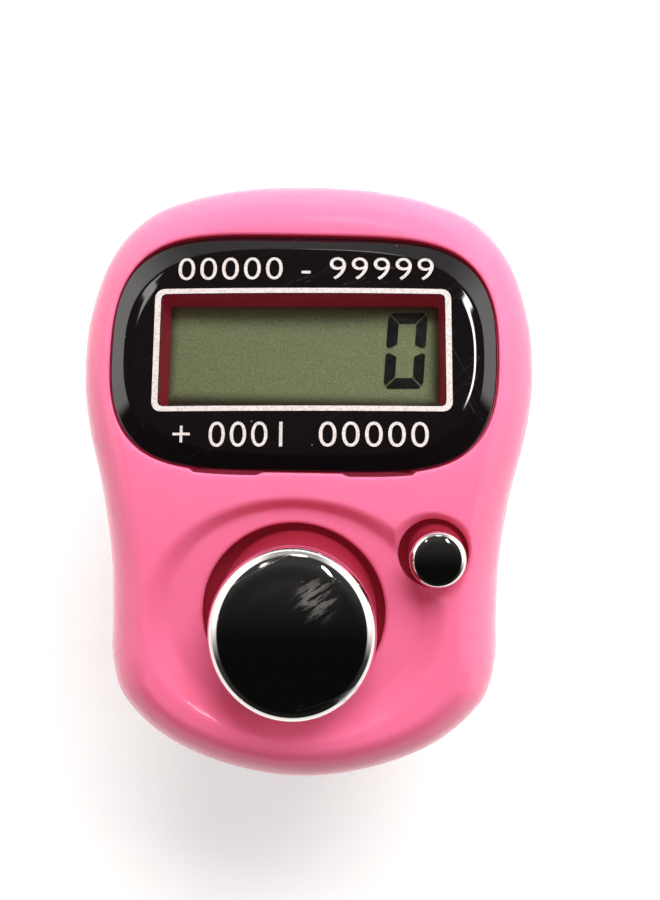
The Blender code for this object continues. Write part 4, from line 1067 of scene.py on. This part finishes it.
lens = Moulding()
lens_under, lens_brim = lens.run([
    display_ring(lens_plan(-0.06), lens_low), display_ring(lens_plan(0.0), lens_low + 0.06),
    lens_ring(0.0) - (0.0, 0.0, 0.05)] + [lens_ring(inset) for inset in (
        0.03, 0.10, 0.3, 0.5, 0.7, 0.82, 0.87, 0.91, 0.94, 0.97, 1.00, 1.04, 1.09, 1.2, 1.32,
        1.38, 1.43, 1.47, 1.51, 1.55, 1.59, 1.63, 1.67, 1.71, 1.76)])
window_upper, window_lower = lens.run([on_crown(pane_plan(0.0)),
                                       display_ring(pane_plan(0.0), lens_low)])
# The walls of the window opening take the darker pink copy, painted shade.
lens.painted_shade_faces += range(len(lens.faces) - 160, len(lens.faces))
fill_crown(lens, [lens_brim, window_upper], 0.8)
lens.fill([lens_under, window_lower])
for side in (-1, 1):
    shape = rounded_box(4.1, 0.36, 0.12, (side * tab_centre, tab_y), steps=3)
    lens.solid([display_ring(shape, level) for level in (pocket_z - 1.2, lens_low + 0.2)])
lens.make("lens_plate", lens_black.material, "case", ["display_lens"],
          painted_shade=painted_shade_plastic)

tape = Moulding()
tape_loops = [tape.run([display_ring(plan, level) for level in (pocket_z + 0.02, lens_low - 0.02)])
              for plan in (lens_plan(-0.7), pane_plan(0.55))]
for outer, inner in zip(*tape_loops):
    tape.fill([outer, inner])
black_tape = grained("black_tape", (0.012, 0.012, 0.012), (0.03, 0.03, 0.03), 2500.0, 0.55, 0.3,
                     0.6)
tape.make("lens_seal", black_tape, "case", ["lens_tape"])

# The clear part mirrors at its top as acrylic does, and its lower face is left clear.
pane_clear = Surface("clear_window", Metallic=1.0, Base_Color=(0.95, 0.95, 0.95))
_, scratches, dust = pane_clear.marks(Scratch_Size=1200.0, Scratch_Width=0.006, Dust_Size=1300.0,
                                      Dust_Share=0.11)
mirrored = pane_clear.node("Fresnel", {"IOR": 1.49}).outputs["Fac"]
hazed = pane_clear.math("ADD", mirrored, pane_clear.scaled(scratches, 0.06))
speckled = pane_clear.math("ADD", hazed, pane_clear.scaled(dust, 0.35))
lower_face = pane_clear.math("MULTIPLY",
                             pane_clear.node("NewGeometry").outputs["Backfacing"],
                             pane_clear.node("LightPath").outputs["Is Camera Ray"])
pane_clear.set(Alpha=pane_clear.blend(lower_face, speckled, 0.0),
               Roughness=pane_clear.scaled(scratches, 0.25, 0.03))
pane_thickness = 0.3
pane = Moulding()
pane_upper, pane_lower = pane.run([on_crown(pane_plan(-0.005), lift)
                                   for lift in (0.0, -pane_thickness)])
fill_crown(pane, [pane_upper], 0.9)
pane.fill([pane_lower])
pane.make("lens_window", pane_clear.material, "case")


# Print on the lens: a thin silver-white line round the window, and plain numbers above and below
# it: the range that the display counts through, the step of the large button and its zero.
print_white = Surface("screen_print")
print_grain = print_white.noise(print_white.place(), 6500.0, 3.0, 0.7)
print_white.set(Base_Color=print_white.colour(
    print_white.ramp(print_grain, 0.36, 0.56, kind="LINEAR"), (0.50, 0.44, 0.43),
    (0.72, 0.65, 0.64)), Roughness=print_white.scaled(print_grain, 0.3, 0.25))
print_lift, print_depth = 0.012, 0.02
printing = Moulding()
line_loops = []
for half, radius, lifts in (((9.90, 4.15), 0.60, (print_lift - print_depth, print_lift)),
                            ((9.50, 3.81), 0.32, (print_lift, print_lift - print_depth))):
    plan = askew_box(half, radius, 220)
    line_loops += [printing.loop(on_crown(plan, lift)) for lift in lifts]
for first, second in zip(line_loops, line_loops[1:] + line_loops[:1]):
    printing.bridge(first, second)
printing.make("print_line", print_white.material, "case")


def print_numbers(name, text, low_x, high_x, low_y, high_y):
    """Plain numbers that fill a given width and height of the lens, bent to its crown."""
    words = bpy.data.curves.new(name, "FONT")
    words.body = text
    words.offset = -0.006
    words.space_character = 1.12
    words.resolution_u = 6
    words.extrude = 0.5
    holder = put(name + "_curve", words)
    bpy.context.view_layer.update()
    mesh = bpy.data.meshes.new_from_object(
        holder.evaluated_get(bpy.context.evaluated_depsgraph_get()))
    bpy.data.objects.remove(holder)
    flat = np.array([tuple(vertex.co) for vertex in mesh.vertices])
    low, high = flat.min(axis=0), flat.max(axis=0)
    x = low_x + (flat[:, 0] - low[0]) / (high[0] - low[0]) * (high_x - low_x)
    y = low_y + (flat[:, 1] - low[1]) / (high[1] - low[1]) * (high_y - low_y)
    lift = np.where(flat[:, 2] > 0, print_lift, print_lift - print_depth)
    mesh.name = name
    for vertex, point in zip(mesh.vertices, on_crown(turned(np.column_stack([x, y])), lift)):
        vertex.co = point * MM
    mesh.materials.clear()
    mesh.materials.append(print_white.material)
    add_piece(name, mesh, "case")


print_numbers("print_range", "00000 - 99999", -8.56, 8.58, 5.09, 6.62)
print_numbers("print_step", "+ 0001", -8.60, -1.41, -6.17, -4.52)
print_numbers("print_zero", "00000", 0.96, 8.13, -6.17, -4.52)


# Buttons: hollow plastic caps with bright chrome plating, each with a domed top, a round edge,
# a flange that holds it behind the case and a plunger over its rubber dome.
chrome = Surface("chrome_plate", Metallic=1.0)
_, scratches, dust = chrome.marks(Scratch_Size=650.0, Scratch_Width=0.02, Dust_Share=0.09)
chrome_place = chrome.place()
rub_place = chrome.lay(chrome_place, Location=(-0.0011, 0.0067, 0.0), Scale=(1.0, 1.0, 0.0))
rub_patch = chrome.ramp(chrome.distance(rub_place), 0.0004, 0.0022, 1.0, 0.0)
rub_lay = chrome.lay(chrome_place, "TEXTURE", Rotation=(0.0, 0.0, 0.55), Scale=(3.5, 0.6, 3.0))
rub_streaks = chrome.ramp(chrome.noise(rub_lay, 1600.0, 4.0, 0.7), 0.44, 0.60, kind="LINEAR")
rubbed = chrome.math("MULTIPLY", rub_patch, rub_streaks)
chrome.set(Base_Color=chrome.colour(chrome.scaled(dust, 0.6), (0.80, 0.775, 0.75),
                                    (0.95, 0.93, 0.90)),
           Roughness=chrome.math("ADD", chrome.scaled(rubbed, 0.70, 0.035),
                                 chrome.scaled(scratches, 0.30)),
           Normal=chrome.bump(chrome.noise(chrome_place, 420.0, 1.0), 0.04, 0.00006))


def make_cap(name, to_model, size, steps, body, replaced):
    """A cap turned on its own axis, from the middle of its crown down its side and back inside."""
    radius, stretch, rise, edge, dome, flange_top, offset = size
    flange_width, flange_height, wall = 1.1, 0.7, min(1.1, radius * 0.4)
    brow = radius - edge
    crown = brow ** 2 / (2 * dome)
    lean = math.atan(brow / crown)
    profile = [(brow * share, rise - (brow * share) ** 2 / (2 * crown))
               for share in np.linspace(0, 1, 9)[1:]]
    for turn in np.linspace(lean, math.pi / 2, 12)[1:]:
        profile.append((brow + edge * (math.sin(turn) - math.sin(lean)) / (1 - math.sin(lean)),
                        rise - dome - edge * (math.cos(lean) - math.cos(turn))))
    bore, roof = radius - wall, rise - dome - 2 * wall
    plunger = min(1.5, radius / 2 - wall / 4)
    origin = to_model([(0.0, 0.0, 0.0)])[0]
    foot = (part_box(replaced)[0][2] / MM + 0.12 - origin[2]) / math.cos(button_tilt)
    flange, flange_foot = radius + flange_width, flange_top - flange_height
    chromed = len(profile)
    profile += [(radius, rise - dome - edge - 0.25), (radius, flange_top + 0.1),
                (radius + 0.1, flange_top), (flange - 0.1, flange_top), (flange, flange_top - 0.1),
                (flange, flange_foot), (bore, flange_foot), (bore, roof), (plunger, roof),
                (plunger, foot + 0.2), (plunger - 0.2, foot)]
    cap = Moulding()
    top, bottom = cap.run([
        to_model(circle(r, steps, level=z) * (1, stretch if r > bore else 1, 1) + (*offset, 0))
        for r, z in profile])
    # Below the chrome of its top and rounded edge, the side of the cap takes the darker pink copy,
    # painted shade, not plating.
    cap.painted_shade_faces += range(chromed * steps, len(cap.faces))
    for loop, level in ((bottom, foot), (top, rise)):
        cap.fan(loop, to_model([(*offset, level)])[0])
    cap.make(name, chrome.material, body, [replaced], sharp=30.0,
             painted_shade=painted_shade_plastic)


make_cap("count_cap", on_count, (5.38, 1.06, 3.90, 1.15, 0.40, -3.1, (0.17, -0.20)), 144,
         "count_key", "count_button")
make_cap("reset_cap", on_reset, (1.85, 1.02, 1.70, 0.60, 0.11, -2.6, (0.18, 0.03)), 72,
         "reset_key", "reset_button")


# Surroundings: a white floor that the strap loop stands on, soft light from the top of the
# display and both flanks, and a room that polished surfaces show as dark overhead, bright low
# down on three sides and dim in front.
floor_half = 1.5
floor_mesh = bpy.data.meshes.new("floor")
floor_mesh.from_pydata([(x * floor_half, y * floor_half, 0)
                        for x, y in ((-1, -1), (1, -1), (1, 1), (-1, 1))], [], [(0, 1, 2, 3)])
floor = put("floor", floor_mesh)
white_floor = Surface("white_floor", Roughness=0.9, Base_Color=(0.72, 0.72, 0.72),
                      Emission_Color=(1.0, 1.0, 1.0))
rays = white_floor.node("LightPath").outputs
seen = white_floor.math("MAXIMUM", rays["Is Camera Ray"], rays["Is Glossy Ray"])
seen = white_floor.math("MAXIMUM", seen, rays["Is Transmission Ray"])
white_floor.set(Emission_Strength=white_floor.scaled(seen, 0.42))
floor_mesh.materials.append(white_floor.material)

lamp_target = Vector((0.0, 0.0, 0.02))
for name, place, size, power, tint in (
        ("key_light", (0.12, 0.40, 0.43), (0.40, 0.26), 4.4, (1.0, 0.98, 0.95)),
        ("left_light", (-0.60, 0.10, 0.22), (0.35, 0.20), 0.6, (1.0, 0.97, 0.94)),
        ("right_light", (0.60, 0.20, 0.24), (0.35, 0.20), 1.1, (1.0, 0.99, 0.98))):
    lamp = bpy.data.lights.new(name, "AREA")
    lamp.shape = "RECTANGLE"
    lamp.size, lamp.size_y = size
    lamp.energy, lamp.color = power, tint
    holder = put(name, lamp)
    holder.visible_glossy = False
    holder.location = place
    holder.rotation_euler = (lamp_target - Vector(place)).to_track_quat("-Z", "Y").to_euler()

world = bpy.data.worlds.new("soft_room")
bpy.context.scene.world = world
world.use_nodes = True
room = Shading(world.node_tree)
heading = room.place("Generated")
across, ahead, up = room.node("SeparateXYZ", {"Vector": heading}).outputs
diffuse_light = room.ramp(ahead, -0.9, 0.9, 0.06, 0.60)
band_flank = room.ramp(room.math("ABSOLUTE", across), 0.35, 0.80, 0.42, 2.0)
band = room.math("MULTIPLY", band_flank, room.ramp(ahead, -0.60, 0.0, 0.02, 1.0))
overhead = room.ramp(ahead, -0.5, 0.4, 0.004, 0.05)
mirrored = room.math("MULTIPLY_ADD", room.ramp(up, 0.52, 0.40), band, overhead)
for middle, narrowness, level in (((0.37, 0.40, 0.83), (24.0, 5.0, 4.0), 24.0),
                                  ((-0.45, 0.50, 0.74), (24.0, 9.0, 4.0), 4.0),
                                  ((0.05, 0.88, 0.45), (6.0, 2.0, 9.0), 3.0)):
    off = room.distance(room.lay(heading, Scale=narrowness,
                                 Location=[-m * k for m, k in zip(middle, narrowness)]))
    mirrored = room.math("ADD", mirrored, room.ramp(off, 1.0, 0.6, 0.0, level))
rays = room.node("LightPath").outputs
light = room.blend(rays["Is Glossy Ray"], diffuse_light, mirrored)
seen = room.math("MAXIMUM", rays["Is Camera Ray"], rays["Is Transmission Ray"])
background = world.node_tree.nodes["Background"].inputs
room.feed(background["Color"], (1.0, 0.975, 0.96))
room.feed(background["Strength"], room.blend(seen, light, 1.0))

bpy.context.scene.view_settings.view_transform = "Standard"
